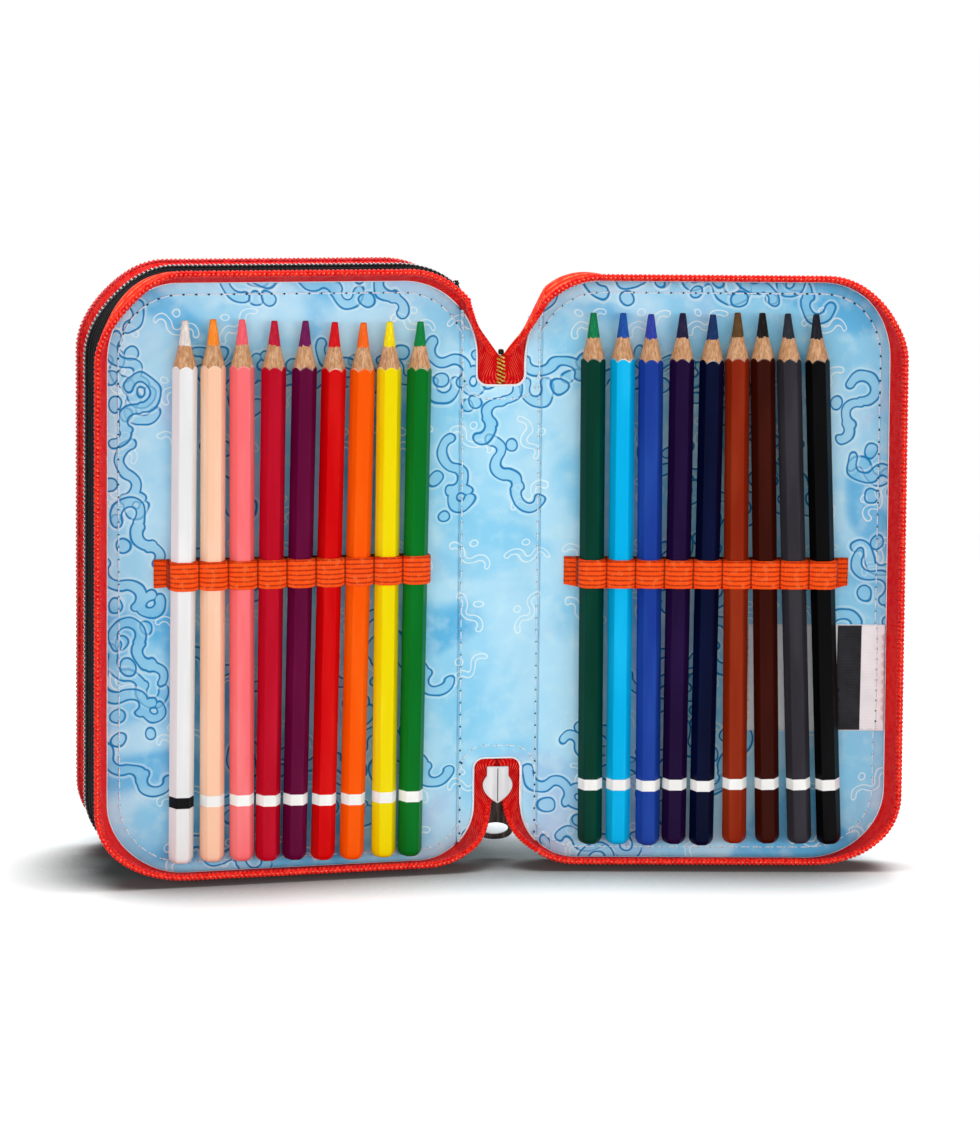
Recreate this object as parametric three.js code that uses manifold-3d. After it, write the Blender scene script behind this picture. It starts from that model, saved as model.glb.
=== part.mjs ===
// Filled pencil case: three zipped compartments joined by folding spines, with eighteen coloured pencils.
// It stands upright like a book whose front compartment is open towards -Y. Millimetres, +Z up, +X to the right.
import * as THREE from "three";
import { mergeVertices } from "three/addons/utils/BufferGeometryUtils.js";
import Module from "manifold-3d";

const wasm = await Module();
wasm.setup();

// Lining of one tray: from its fold line to the outer side, and from the lower to the upper edge
const liningWidth = 114;
const liningHeight = 190.5;
const cornerRadius = 24;
const liningThickness = 0.5;

// Panels and spines. Sewn or resting pieces keep sewnGap between their solids
const sewnGap = 0.3;
const seamAllowance = 1.6;
const dividerThickness = 2.2;
const coverThickness = 2.6;
const frontSpineWidth = 26.6;
const closedSpineWidth = 20.4;
const spineThickness = 1.8;
const seamEdgeThickness = 0.5;
const foldAngle = THREE.MathUtils.degToRad(5.9);

// Notches at both ends of each spine, where the zips end
const earWidth = 5.1;
const notchDepth = 34;
const notchCornerRadius = 3.8;

// Zip: a standing wall of tape with the coil on its free edge
const tapeThickness = 0.9;
const tapeSewnIn = 0.2;
const coilHeight = 2.6;
const coilThickness = 2.4;
const coilProud = 0.4;
const coilGap = 0.2;
const closedCoilGap = 0.15;
const chainWidth = 3;
const chainThickness = 2.2;
const chainLength = 10;
const stopHeight = 2.4;
const endTapeThickness = 0.9;

// How far the free edge of a zip's tape lies outside its lining's edge, on each side of the tray
const leftBulge = { outer: 5.7, top: 4.1, bottom: -0.9, inner: 3.3 };
const rightBulge = { outer: 4.4, top: 2, bottom: -1, inner: 2.8 };
const middleBulge = { outer: 5.6, top: 4.2, bottom: -0.9, inner: 4 };
const rearBulge = { outer: 5.8, top: 4.3, bottom: -0.9, inner: 1 };

// Pencils: six-sided, with one flat towards the lining
const pencilFlats = 7;
const pencilLength = 175;
const pencilLift = 0.8;
const leadLength = 7.8;
const leadTipRadius = 0.95;
const leadRootRadius = 2;
const woodLength = 8.1;
const endRounding = 1.5;

// Elastic loops
const loopPitch = 9.4;
const elasticHeight = 9.2;
const elasticThickness = 1;
const elasticTab = 4.2;
const webThickness = 0.44;
const leftLoops = { first: 15.3, middle: 98.4 };
const rightLoops = { first: 16.7, middle: 96.4 };

// Sewn label on the cover's lining, with a bare patch on it
const labelWidth = 45;
const labelHeight = 35.6;
const labelBottom = 43.2;
const labelThickness = 0.2;
const patchWidth = 7.9;
const patchFromEdge = 7.8;

// Slider and its pull
const sliderLength = 12.4;
const sliderEndWidth = 7.1;
const sliderWidth = 9.8;
const sliderStraight = 3.2;
const sliderPlate = 1.1;
const wedgeWidth = 2.4;
const wedgeLength = 5;
const bridgeWidth = 1.5;
const bridgeLength = 7.6;
const bridgeThickness = 1.1;
const bridgeClear = 2.5;
const frontSliderBelowNotch = 3;
const pullThickness = 1.4;
const pullLength = 22.6;
const pullWidth = 12;
const pullArm = 0.8;
const pullSlotWidth = 2.8;
const pullSlotLength = 6.3;
const pullHoleWidth = 9;
const pullHoleHeight = 4.4;
const pullRim = 1.5;

// Sampling of round stretches
const arcSteps = 8;
const earSteps = 5;
const pencilSides = 18;
const ribbonSteps = 13;
const settleTurns = 5;
const mergeDistance = 1e-4;

// Derived sizes
const innerCentre = cornerRadius - earWidth;
const foldHeight = Math.sqrt(cornerRadius ** 2 - innerCentre ** 2);
const wallHeight = frontSpineWidth / 2 - coilGap;
const closedWallHeight = closedSpineWidth / 2 - closedCoilGap;
const panelFace = liningThickness + sewnGap;
const pencilAxis = pencilLift + pencilFlats / 2;
const dividerBack = panelFace + dividerThickness;
const chainDepth = panelFace + sewnGap + sewnGap / 3;
const upper = liningHeight - cornerRadius;

const RED = 0xc8191e;
const BLACK = 0x17171a;
const ORANGE = 0xeb5a1c;
const SKY = 0xa9d2eb;
const COVER = 0x2c5fa8;
const METAL = 0x55504f;
const SLIDER = 0xdedcdc;

const fabric = (colour) => new THREE.MeshStandardMaterial({ color: colour, roughness: 0.85, metalness: 0 });
const lacquer = (colour) => new THREE.MeshStandardMaterial({ color: colour, roughness: 0.3, metalness: 0 });
const metal = (colour) => new THREE.MeshStandardMaterial({ color: colour, roughness: 0.35, metalness: 0.9 });

// Merges shared vertices and turns the faces outwards
function closed(geometry) {
  const bare = new THREE.BufferGeometry().setAttribute("position", geometry.getAttribute("position"));
  if (geometry.index) bare.setIndex(geometry.index);
  const merged = mergeVertices(bare, mergeDistance);
  const index = Array.from(merged.index.array);
  const kept = [];
  for (let i = 0; i < index.length; i += 3) {
    const [a, b, c] = index.slice(i, i + 3);
    if (a !== b && b !== c && c !== a) kept.push(a, b, c);
  }
  const position = merged.getAttribute("position");
  const corner = (k) => new THREE.Vector3().fromBufferAttribute(position, k);
  let volume = 0;
  for (let i = 0; i < kept.length; i += 3) {
    volume += corner(kept[i]).dot(corner(kept[i + 1]).cross(corner(kept[i + 2])));
  }
  if (volume < 0) kept.reverse();
  merged.setIndex(kept);
  return merged;
}

function toSolid(geometry) {
  const made = closed(geometry);
  return new wasm.Manifold(
    new wasm.Mesh({
      numProp: 3,
      vertProperties: new Float32Array(made.getAttribute("position").array),
      triVerts: new Uint32Array(made.index.array),
    }),
  );
}

function fromSolid(solid) {
  const { vertProperties, triVerts } = solid.getMesh();
  return new THREE.BufferGeometry()
    .setAttribute("position", new THREE.BufferAttribute(vertProperties, 3))
    .setIndex(new THREE.BufferAttribute(triVerts, 1));
}

function join(...geometries) {
  return fromSolid(geometries.map(toSolid).reduce((all, next) => all.add(next)));
}

function cut(geometry, ...tools) {
  return fromSolid(tools.map(toSolid).reduce((left, tool) => left.subtract(tool), toSolid(geometry)));
}

function mesh(name, geometry, material) {
  const faceted = closed(geometry).toNonIndexed();
  faceted.computeVertexNormals();
  const made = new THREE.Mesh(faceted, material);
  made.name = name;
  return made;
}

function box(low, high) {
  const size = high.map((value, i) => value - low[i]);
  const middle = high.map((value, i) => (value + low[i]) / 2);
  return new THREE.BoxGeometry(...size).translate(...middle);
}

// Extrudes a shape drawn in (across, up) from one depth to another; place turns (across, up, depth) into a point
function slab(shape, from, to, place) {
  const geometry = new THREE.ExtrudeGeometry(shape, {
    depth: to - from,
    bevelEnabled: false,
    curveSegments: arcSteps,
  });
  const position = geometry.getAttribute("position");
  for (let i = 0; i < position.count; i++) {
    const point = place(position.getX(i), position.getY(i), position.getZ(i) + from);
    position.setXYZ(i, point.x, point.y, point.z);
  }
  return geometry;
}

// A closed body through rings of points that all follow one flat outline
function loft(rings, outline) {
  const count = outline.length;
  const positions = rings.flat().flatMap((point) => [point.x, point.y, point.z]);
  const faces = [];
  for (let ring = 0; ring + 1 < rings.length; ring++) {
    for (let i = 0; i < count; i++) {
      const here = ring * count + i;
      const next = ring * count + ((i + 1) % count);
      faces.push(here, next, here + count, next, next + count, here + count);
    }
  }
  const last = (rings.length - 1) * count;
  for (const [a, b, c] of THREE.ShapeUtils.triangulateShape(outline, [])) {
    faces.push(a, c, b, last + a, last + b, last + c);
  }
  const geometry = new THREE.BufferGeometry();
  geometry.setAttribute("position", new THREE.Float32BufferAttribute(positions, 3));
  geometry.setIndex(faces);
  return geometry;
}

const square = [
  new THREE.Vector2(0, 0),
  new THREE.Vector2(1, 0),
  new THREE.Vector2(1, 1),
  new THREE.Vector2(0, 1),
];

// Outlines: across is measured from the fold line outwards, up from the lining's lower edge

// A tray's outline, offset outside its lining, cut straight beside the fold line
function trayShape(offset, foldGap) {
  const radius = cornerRadius + offset;
  const reach = Math.acos((innerCentre - foldGap) / radius);
  const outer = liningWidth - cornerRadius;
  const shape = new THREE.Shape();
  shape.absarc(innerCentre, upper, radius, Math.PI - reach, Math.PI / 2, true);
  shape.absarc(outer, upper, radius, Math.PI / 2, 0, true);
  shape.absarc(outer, cornerRadius, radius, 0, -Math.PI / 2, true);
  shape.absarc(innerCentre, cornerRadius, radius, -Math.PI / 2, reach - Math.PI, true);
  shape.closePath();
  return shape;
}

// A spine's outline: a strip with an ear at each corner and a notch between the ears at both ends
function spineShape(width, gap) {
  const reach = Math.acos((innerCentre + gap) / cornerRadius);
  const inner = notchCornerRadius;
  const side = earWidth + inner;
  const low = notchDepth - inner;
  const high = liningHeight - low;
  const shape = new THREE.Shape();
  shape.absarc(-innerCentre, upper, cornerRadius, reach, 0, true);
  shape.absarc(side, high, inner, Math.PI, 1.5 * Math.PI, false);
  shape.absarc(width - side, high, inner, 1.5 * Math.PI, 2 * Math.PI, false);
  shape.absarc(width + innerCentre, upper, cornerRadius, Math.PI, Math.PI - reach, true);
  shape.absarc(width + innerCentre, cornerRadius, cornerRadius, reach - Math.PI, -Math.PI, true);
  shape.absarc(width - side, low, inner, 0, Math.PI / 2, false);
  shape.absarc(side, low, inner, Math.PI / 2, Math.PI, false);
  shape.absarc(-innerCentre, cornerRadius, cornerRadius, 0, -reach, true);
  shape.closePath();
  return shape;
}

// Points round a tray from the fold line over the top to the fold line below, at an offset that follows the direction
function rail(offsetAt, foldGap) {
  const outer = liningWidth - cornerRadius;
  let reach = Math.acos(innerCentre / cornerRadius);
  for (let turn = 0; turn < settleTurns; turn++) {
    reach = Math.acos((innerCentre - foldGap) / (cornerRadius + offsetAt(Math.PI - reach)));
  }
  let lowReach = Math.acos(innerCentre / cornerRadius);
  for (let turn = 0; turn < settleTurns; turn++) {
    lowReach = Math.acos((innerCentre - foldGap) / (cornerRadius + offsetAt(lowReach - Math.PI)));
  }
  const arcs = [
    [innerCentre, upper, Math.PI - reach, Math.PI / 2, earSteps],
    [outer, upper, Math.PI / 2, 0, arcSteps],
    [outer, cornerRadius, 0, -Math.PI / 2, arcSteps],
    [innerCentre, cornerRadius, -Math.PI / 2, lowReach - Math.PI, earSteps],
  ];
  const points = [];
  for (const [across, up, from, to, steps] of arcs) {
    for (let step = 0; step <= steps; step++) {
      const angle = from + ((to - from) * step) / steps;
      const radius = cornerRadius + offsetAt(angle);
      points.push([across + radius * Math.cos(angle), up + radius * Math.sin(angle)]);
    }
  }
  return points;
}

// How far outside the lining's edge a tape's free edge lies, by the direction that the edge faces
function bulgeAt(bulge, angle) {
  const out = Math.cos(angle);
  const up = Math.sin(angle);
  const side = (out > 0 ? bulge.outer : bulge.inner) * out * out;
  return side + (up > 0 ? bulge.top : bulge.bottom) * up * up;
}

// A ring-shaped wall on a tray between two heights, with its outer face between the seam and the bulge
function wall(bulge, height, from, to, proud, thickness, place) {
  const seam = tapeSewnIn + tapeThickness;
  const offsetAt = (level, extra) => (angle) => {
    return seam + ((bulgeAt(bulge, angle) - seam) * Math.max(level, 0)) / height + extra;
  };
  const corners = [
    [from, proud - thickness],
    [from, proud],
    [to, proud],
    [to, proud - thickness],
  ];
  const rails = corners.map(([level, extra]) => rail(offsetAt(level, extra), sewnGap));
  const rings = rails[0].map((_, k) => corners.map(([level], i) => place(rails[i][k][0], rails[i][k][1], level)));
  return loft(rings, square);
}

// Both halves of a tray's zip: its tape wall and the coil on the tape's edge
function zipHalf(name, colour, bulge, root, height, place) {
  const tapeTop = height - coilHeight - coilGap;
  return [
    mesh(name + "_tape", wall(bulge, height, root, tapeTop, 0, tapeThickness, place), fabric(colour)),
    mesh(
      name + "_coil",
      wall(bulge, height, height - coilHeight, height, coilProud, coilThickness, place),
      lacquer(colour),
    ),
  ];
}

// Places of a tray's points: the left trays run towards -X, the cover's towards +X
const leftFacing = (across, up, depth) => new THREE.Vector3(-across, -depth, up);
const rightFacing = (across, up, depth) => new THREE.Vector3(across, -depth, up);
const backwards = (from) => (across, up, depth) => new THREE.Vector3(-across, from + depth, up);
const forwards = (from) => (across, up, depth) => new THREE.Vector3(-across, from - depth, up);

// A spine's board: its long edges thin down to the seam, so that neighbours clear each other when folding.
// Its outer side faces +Y where side is 1 and -Y where it is -1
function spineBoard(width, face, side) {
  const flat = (across, up, depth) => new THREE.Vector3(across, side * depth, up);
  const board = slab(spineShape(width, sewnGap), face, face + spineThickness, flat);
  const slope = spineThickness - seamEdgeThickness;
  const profile = new THREE.Shape([
    new THREE.Vector2(sewnGap, face),
    new THREE.Vector2(sewnGap, face + seamEdgeThickness),
    new THREE.Vector2(sewnGap + 2 * slope, face + spineThickness),
    new THREE.Vector2(width - sewnGap - 2 * slope, face + spineThickness),
    new THREE.Vector2(width - sewnGap, face + seamEdgeThickness),
    new THREE.Vector2(width - sewnGap, face),
  ]);
  const rod = slab(profile, 0, liningHeight, (across, depth, up) => new THREE.Vector3(across, side * depth, up));
  return fromSolid(toSolid(board).intersect(toSolid(rod)));
}

// Slider, drawn with its closed end up at the origin and its outer side towards +Y
function sliderOutline() {
  const end = sliderEndWidth / 2;
  const half = sliderWidth / 2;
  const bulb = sliderLength / 2;
  const shape = new THREE.Shape();
  shape.moveTo(-end, 0);
  shape.lineTo(-end, -sliderStraight);
  shape.quadraticCurveTo(-half, -(sliderStraight + bulb) / 2, -half, -bulb);
  shape.quadraticCurveTo(-half, -(bulb + sliderLength) / 2, 0, -sliderLength);
  shape.quadraticCurveTo(half, -(bulb + sliderLength) / 2, half, -bulb);
  shape.quadraticCurveTo(half, -(sliderStraight + bulb) / 2, end, -sliderStraight);
  shape.lineTo(end, 0);
  shape.closePath();
  return shape;
}

const standing = (across, up, depth) => new THREE.Vector3(across, depth, up);
const plateInner = chainDepth - chainThickness / 2 - sewnGap;
const plateOuter = chainDepth + chainThickness / 2 + sewnGap;
const wedgeTop = sliderLength / 2;
const bridgeTop = (sliderLength - bridgeLength) / 3;
const pinDepth = plateOuter + sliderPlate + bridgeClear / 2;
const pinDrop = bridgeTop + bridgeThickness + pullThickness;

function sliderGeometry() {
  const outline = sliderOutline();
  const innerPlate = slab(outline, plateInner - sliderPlate, plateInner, standing);
  const outerPlate = slab(outline, plateOuter, plateOuter + sliderPlate, standing);
  const middle = -wedgeTop - wedgeLength / 2;
  const diamond = new THREE.Shape([
    new THREE.Vector2(0, -wedgeTop),
    new THREE.Vector2(-wedgeWidth / 2, middle),
    new THREE.Vector2(0, -wedgeTop - wedgeLength),
    new THREE.Vector2(wedgeWidth / 2, middle),
  ]);
  const wedge = slab(diamond, plateInner - sliderPlate / 2, plateOuter + sliderPlate / 2, standing);
  const foot = plateOuter + sliderPlate / 2;
  const crown = plateOuter + sliderPlate + bridgeClear;
  const side = bridgeWidth / 2;
  const post = (top) => box([-side, foot, -top - bridgeThickness], [side, crown + bridgeThickness, -top]);
  const bar = box([-side, crown, -bridgeTop - bridgeLength], [side, crown + bridgeThickness, -bridgeTop]);
  return join(innerPlate, outerPlate, wedge, post(bridgeTop), post(bridgeTop + bridgeLength - bridgeThickness), bar);
}

// Pull, drawn hanging from its pin at the origin
function pullGeometry() {
  const top = pullThickness / 2;
  const neck = pullSlotWidth / 2 + pullArm;
  const half = pullWidth / 2;
  const low = pullLength - top;
  const shape = new THREE.Shape();
  shape.moveTo(-neck, top);
  shape.lineTo(-neck, -pullSlotLength);
  shape.quadraticCurveTo(-neck, -low / 2, -half, -low + pullHoleHeight / 2 + pullRim);
  shape.quadraticCurveTo(-half, -low, 0, -low);
  shape.quadraticCurveTo(half, -low, half, -low + pullHoleHeight / 2 + pullRim);
  shape.quadraticCurveTo(neck, -low / 2, neck, -pullSlotLength);
  shape.lineTo(neck, top);
  shape.closePath();
  const slot = new THREE.Path([
    new THREE.Vector2(-pullSlotWidth / 2, -top),
    new THREE.Vector2(-pullSlotWidth / 2, -top - pullSlotLength),
    new THREE.Vector2(pullSlotWidth / 2, -top - pullSlotLength),
    new THREE.Vector2(pullSlotWidth / 2, -top),
  ]);
  const hole = new THREE.Path();
  const holeUp = -low + pullRim + pullHoleHeight / 2;
  hole.absellipse(0, holeUp, pullHoleWidth / 2, pullHoleHeight / 2, 0, 2 * Math.PI, false, 0);
  shape.holes.push(slot, hole);
  return slab(shape, -pullThickness / 2, pullThickness / 2, standing);
}

// A slider with its pull, in a group whose origin is the slider's closed end
function sliderGroup(name) {
  const group = new THREE.Group();
  group.add(mesh(name + "_slider", sliderGeometry(), metal(SLIDER)));
  const hanging = new THREE.Group();
  hanging.position.set(0, pinDepth, -pinDrop);
  hanging.add(mesh(name + "_pull", pullGeometry(), metal(METAL)));
  group.add(hanging);
  return group;
}

// Turns a point at the upper end of a spine into the same point at its lower end
const flip = (point, lower) => new THREE.Vector3(point.x, point.y, lower ? liningHeight - point.z : point.z);

// One half of the open zip's end: tape that stands beside the tray's corner and lies flat in the notch
function ribbon(bulge, lower, closedFrom, closedTo, coilSpread) {
  const seam = tapeSewnIn + tapeThickness / 2;
  const trayPoint = (across, up, depth) => {
    const x = -across * Math.cos(foldAngle) + depth * Math.sin(foldAngle);
    const y = -across * Math.sin(foldAngle) - depth * Math.cos(foldAngle);
    return new THREE.Vector3(x, y, up);
  };
  const sewn = [];
  const radius = cornerRadius + seam;
  const reach = Math.acos((innerCentre + sewnGap) / radius);
  for (let step = 0; step <= earSteps; step++) {
    const angle = reach * (1 - step / earSteps);
    const share = step / earSteps;
    const up = upper + radius * Math.sin(angle);
    sewn.push(new THREE.Vector3(-innerCentre + radius * Math.cos(angle), chainDepth * share, up));
  }
  const bend = notchCornerRadius - seam;
  const floor = liningHeight - notchDepth + notchCornerRadius;
  for (let step = 0; step <= earSteps; step++) {
    const angle = Math.PI * (1 + step / earSteps / 2);
    const across = earWidth + notchCornerRadius + bend * Math.cos(angle);
    sewn.push(new THREE.Vector3(across, chainDepth, floor + bend * Math.sin(angle)));
  }
  const centre = frontSpineWidth / 2;
  const edge = centre - chainWidth / 2 + sewnGap;
  sewn.push(new THREE.Vector3(edge - chainWidth / 2, chainDepth, floor - bend));

  const angle = Math.acos(innerCentre / cornerRadius);
  const offset = bulgeAt(bulge, lower ? angle - Math.PI : Math.PI - angle) - coilThickness / 2 + coilProud;
  const tipRadius = cornerRadius + offset;
  const start = Math.acos((innerCentre + coilThickness / 2) / tipRadius);
  const tip = trayPoint(-coilThickness / 2, upper + tipRadius * Math.sin(start), wallHeight - coilHeight / 2);
  const along = new THREE.Vector3(Math.sin(start), 0, -Math.cos(start));
  const joined = new THREE.Vector3(edge - coilSpread, chainDepth, liningHeight - closedFrom);
  const lead = tip.distanceTo(joined) / 3;
  const swing = new THREE.CubicBezierCurve3(
    tip,
    tip.clone().addScaledVector(along, lead),
    joined.clone().add(new THREE.Vector3(-coilSpread / 2, 0, lead)),
    joined,
  );
  const coil = swing.getPoints(arcSteps);
  coil.push(new THREE.Vector3(edge, chainDepth, liningHeight - (closedFrom + closedTo) / 2));
  coil.push(new THREE.Vector3(edge, chainDepth, liningHeight - closedTo));

  const curve = (points) => new THREE.CatmullRomCurve3(points, false, "centripetal").getSpacedPoints(ribbonSteps);
  const sewnPoints = curve(sewn).map((point) => flip(point, lower));
  const coilPoints = curve(coil).map((point) => flip(point, lower));
  const middles = sewnPoints.map((point, k) => point.clone().lerp(coilPoints[k], 1 / 2));
  const tapeHalf = endTapeThickness / 2;
  const coilHalf = chainThickness / 2;
  const rings = sewnPoints.map((from, k) => {
    const to = coilPoints[k];
    const before = middles[Math.max(k - 1, 0)];
    const after = middles[Math.min(k + 1, ribbonSteps)];
    const across = to.clone().sub(from).normalize();
    const normal = across.clone().cross(after.clone().sub(before)).normalize();
    const neck = to.clone().addScaledVector(across, -Math.min(coilHeight, from.distanceTo(to) / 2));
    return [
      from.clone().addScaledVector(normal, -tapeHalf),
      neck.clone().addScaledVector(normal, -tapeHalf),
      to.clone().addScaledVector(normal, -coilHalf),
      to.clone().addScaledVector(normal, coilHalf),
      neck.clone().addScaledVector(normal, tapeHalf),
      from.clone().addScaledVector(normal, tapeHalf),
    ];
  });
  const outline = [
    new THREE.Vector2(0, -tapeHalf),
    new THREE.Vector2(coilHeight, -tapeHalf),
    new THREE.Vector2(2 * coilHeight, -coilHalf),
    new THREE.Vector2(2 * coilHeight, coilHalf),
    new THREE.Vector2(coilHeight, tapeHalf),
    new THREE.Vector2(0, tapeHalf),
  ];
  return loft(rings, outline);
}

const mirrored = (geometry) => {
  const position = geometry.getAttribute("position");
  for (let i = 0; i < position.count; i++) position.setX(i, frontSpineWidth - position.getX(i));
  return geometry;
};

// The open zip's end in one notch: both ribbons and the closed chain between them
function openEnd(name, lower, closedFrom, closedTo, coilSpread) {
  const centre = frontSpineWidth / 2;
  const half = chainThickness / 2;
  const side = chainWidth / 2;
  const from = liningHeight - closedTo - sewnGap;
  const to = liningHeight - (lower ? (closedFrom + closedTo) / 2 : closedFrom);
  const low = flip(new THREE.Vector3(centre - side, chainDepth - half, from), lower);
  const high = flip(new THREE.Vector3(centre + side, chainDepth + half, to), lower);
  const bottom = Math.min(low.z, high.z);
  const top = Math.max(low.z, high.z);
  const chain = box([low.x, low.y, bottom], [high.x, high.y, top]);
  const left = ribbon(leftBulge, lower, closedFrom, closedTo, coilSpread);
  const right = mirrored(ribbon(rightBulge, lower, closedFrom, closedTo, coilSpread));
  return mesh(name, join(left, right, chain), fabric(RED));
}

// A closed zip's end: tape that fills the notch of a closed spine, with the chain down its middle. It faces -Y
function closedEnd(name, colour, lower, wedgeAt) {
  const width = closedSpineWidth;
  const seam = tapeSewnIn + tapeThickness;
  const radius = cornerRadius + sewnGap;
  const reach = Math.acos((innerCentre + sewnGap) / radius);
  const bend = notchCornerRadius - sewnGap;
  const side = earWidth + notchCornerRadius;
  const floor = liningHeight - notchDepth + notchCornerRadius;
  const end = upper + foldHeight + seam;
  const shape = new THREE.Shape();
  shape.moveTo(sewnGap, end);
  shape.absarc(-innerCentre, upper, radius, reach, 0, true);
  shape.absarc(side, floor, bend, Math.PI, 1.5 * Math.PI, false);
  shape.absarc(width - side, floor, bend, 1.5 * Math.PI, 2 * Math.PI, false);
  shape.absarc(width + innerCentre, upper, radius, Math.PI, Math.PI - reach, true);
  shape.lineTo(width - sewnGap, end);
  shape.closePath();
  const turned = (across, up, depth) => flip(new THREE.Vector3(across, depth - chainDepth, up), lower);
  const plate = slab(shape, -endTapeThickness / 2, endTapeThickness / 2, turned);
  const strip = new THREE.Shape([
    new THREE.Vector2((width - chainWidth) / 2, floor - bend),
    new THREE.Vector2((width + chainWidth) / 2, floor - bend),
    new THREE.Vector2((width + chainWidth) / 2, end),
    new THREE.Vector2((width - chainWidth) / 2, end),
  ]);
  const chain = slab(strip, -chainThickness / 2, chainThickness / 2, turned);
  let body = join(plate, chain);
  if (wedgeAt) {
    const half = wedgeWidth / 2 + sewnGap;
    const low = wedgeAt - wedgeLength - sewnGap;
    const deep = 2 * chainDepth + seam;
    body = cut(body, box([width / 2 - half, -deep, low], [width / 2 + half, seam, wedgeAt + sewnGap]));
  }
  return mesh(name, body, fabric(colour));
}

// Pencil, drawn with its lower end at the origin and its point up: a six-sided rod trimmed by a turned shape
function pencilGeometry() {
  const corner = pencilFlats / 2 / Math.cos(Math.PI / 6);
  const coneRoot = pencilLength - leadLength - woodLength;
  const rod = new THREE.CylinderGeometry(corner, corner, 3 * pencilLength, 6)
    .rotateX(Math.PI / 2)
    .rotateZ(Math.PI / 6);
  const full = corner + sewnGap;
  const profile = [
    new THREE.Vector2(0, 0),
    new THREE.Vector2(corner - endRounding, 0),
    new THREE.Vector2(corner - endRounding / 2, endRounding / 5),
    new THREE.Vector2(corner, endRounding),
    new THREE.Vector2(full, 2 * endRounding),
    new THREE.Vector2(full, coneRoot - (full - corner) * (woodLength / (corner - leadRootRadius))),
    new THREE.Vector2(leadRootRadius, pencilLength - leadLength),
    new THREE.Vector2(leadTipRadius, pencilLength),
    new THREE.Vector2(0, pencilLength),
  ];
  const turned = new THREE.LatheGeometry(profile, pencilSides).rotateX(Math.PI / 2);
  return fromSolid(toSolid(rod).intersect(toSolid(turned)));
}

// Elastic band: a comb-shaped section, with a web down to the lining between pencils
function elasticGeometry(loops, tabAtFirst, tabAtLast, count, place) {
  const web = webThickness / 2;
  const inner = pencilLift + pencilFlats + sewnGap;
  const outer = inner + elasticThickness;
  const corner = pencilFlats / 2 / Math.cos(Math.PI / 6);
  const shoulder = pencilAxis + sewnGap;
  const valley = (shoulder + outer) / 2 - sewnGap;
  const flat = corner / 2 + sewnGap;
  const low = sewnGap / 2;
  const start = loops.first - loopPitch / 2;
  const end = start + loopPitch * count;
  const points = [];
  const add = (across, depth) => points.push(new THREE.Vector2(across, depth));
  if (tabAtFirst) {
    add(start - elasticTab, low);
    add(start - elasticTab, low + elasticThickness);
    add(start - web, low + elasticThickness);
  } else add(start - web, low);
  add(start - web, valley);
  for (let i = 0; i < count; i++) {
    const middle = loops.first + loopPitch * i;
    add(middle - flat - elasticThickness / 2, outer - elasticThickness / 4);
    add(middle - flat, outer);
    add(middle + flat, outer);
    add(middle + flat + elasticThickness / 2, outer - elasticThickness / 4);
    add(middle + loopPitch / 2 + (i + 1 === count ? web : 0), valley);
  }
  if (tabAtLast) {
    add(end + web, low + elasticThickness);
    add(end + elasticTab, low + elasticThickness);
    add(end + elasticTab, low);
  } else add(end + web, low);
  for (let i = count - 1; i >= 0; i--) {
    const middle = loops.first + loopPitch * i;
    const side = loopPitch / 2 - web;
    add(middle + side, low);
    add(middle + side, shoulder);
    add(middle + flat, inner);
    add(middle - flat, inner);
    add(middle - side, shoulder);
    add(middle - side, low);
  }
  const bottom = loops.middle - elasticHeight / 2;
  const upright = (across, depth, up) => place(across, up, depth);
  return slab(new THREE.Shape(points), bottom, bottom + elasticHeight, upright);
}

// Pencils of a tray, from the fold line outwards. footShare is the height of the lower end above the lining's
// lower edge, as a share of a pencil's width across its flats, and lean is in degrees
const leftPencils = [
  { name: "green", colour: 0x05803a, footShare: 0.443, lean: 0.9 },
  { name: "yellow", colour: 0xf6e000, footShare: 0.457, lean: 0.5 },
  { name: "orange", colour: 0xff6e00, footShare: 0.429, lean: 1.2 },
  { name: "red", colour: 0xd8000f, footShare: 0.471, lean: 1.3 },
  { name: "purple", colour: 0x69054b, footShare: 0.543, lean: 1.3 },
  { name: "crimson", colour: 0xc81432, footShare: 0.557, lean: 0.9 },
  { name: "salmon", colour: 0xff737d, footShare: 0.629, lean: 0.3 },
  { name: "peach", colour: 0xffcdaf, footShare: 0.657, lean: 0.5 },
  { name: "white", colour: 0xeeecea, footShare: 0.629, lean: 0.9 },
];
const rightPencils = [
  { name: "dark_green", colour: 0x003e23, footShare: 0.829, lean: -0.4 },
  { name: "light_blue", colour: 0x00bef0, footShare: 0.829, lean: -0.3 },
  { name: "blue", colour: 0x3042aa, footShare: 0.786, lean: -0.6 },
  { name: "dark_purple", colour: 0x2a1448, footShare: 0.843, lean: -0.1 },
  { name: "navy", colour: 0x05143c, footShare: 0.786, lean: 0.1 },
  { name: "rust", colour: 0x962d14, footShare: 0.886, lean: -0.9 },
  { name: "dark_brown", colour: 0x41140a, footShare: 0.886, lean: -1.9 },
  { name: "grey", colour: 0x414148, footShare: 0.871, lean: -2.7 },
  { name: "black", colour: 0x0f0f12, footShare: 0.85, lean: -2.9 },
];

// Each pencil hangs in a group at its loop, leaning about it
function pencils(list, loops, toRight) {
  return list.map(({ name, colour, footShare, lean }, i) => {
    const group = new THREE.Group();
    const across = loops.first + loopPitch * i;
    group.position.set(toRight * across, -pencilAxis, loops.middle);
    group.rotation.y = THREE.MathUtils.degToRad(lean);
    const made = mesh("pencil_" + name, pencilGeometry(), lacquer(colour));
    made.position.z = footShare * pencilFlats - loops.middle;
    group.add(made);
    return group;
  });
}

function panel(name, face, thickness, place, colour) {
  return mesh(name, slab(trayShape(seamAllowance, sewnGap), face, face + thickness, place), fabric(colour));
}

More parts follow.
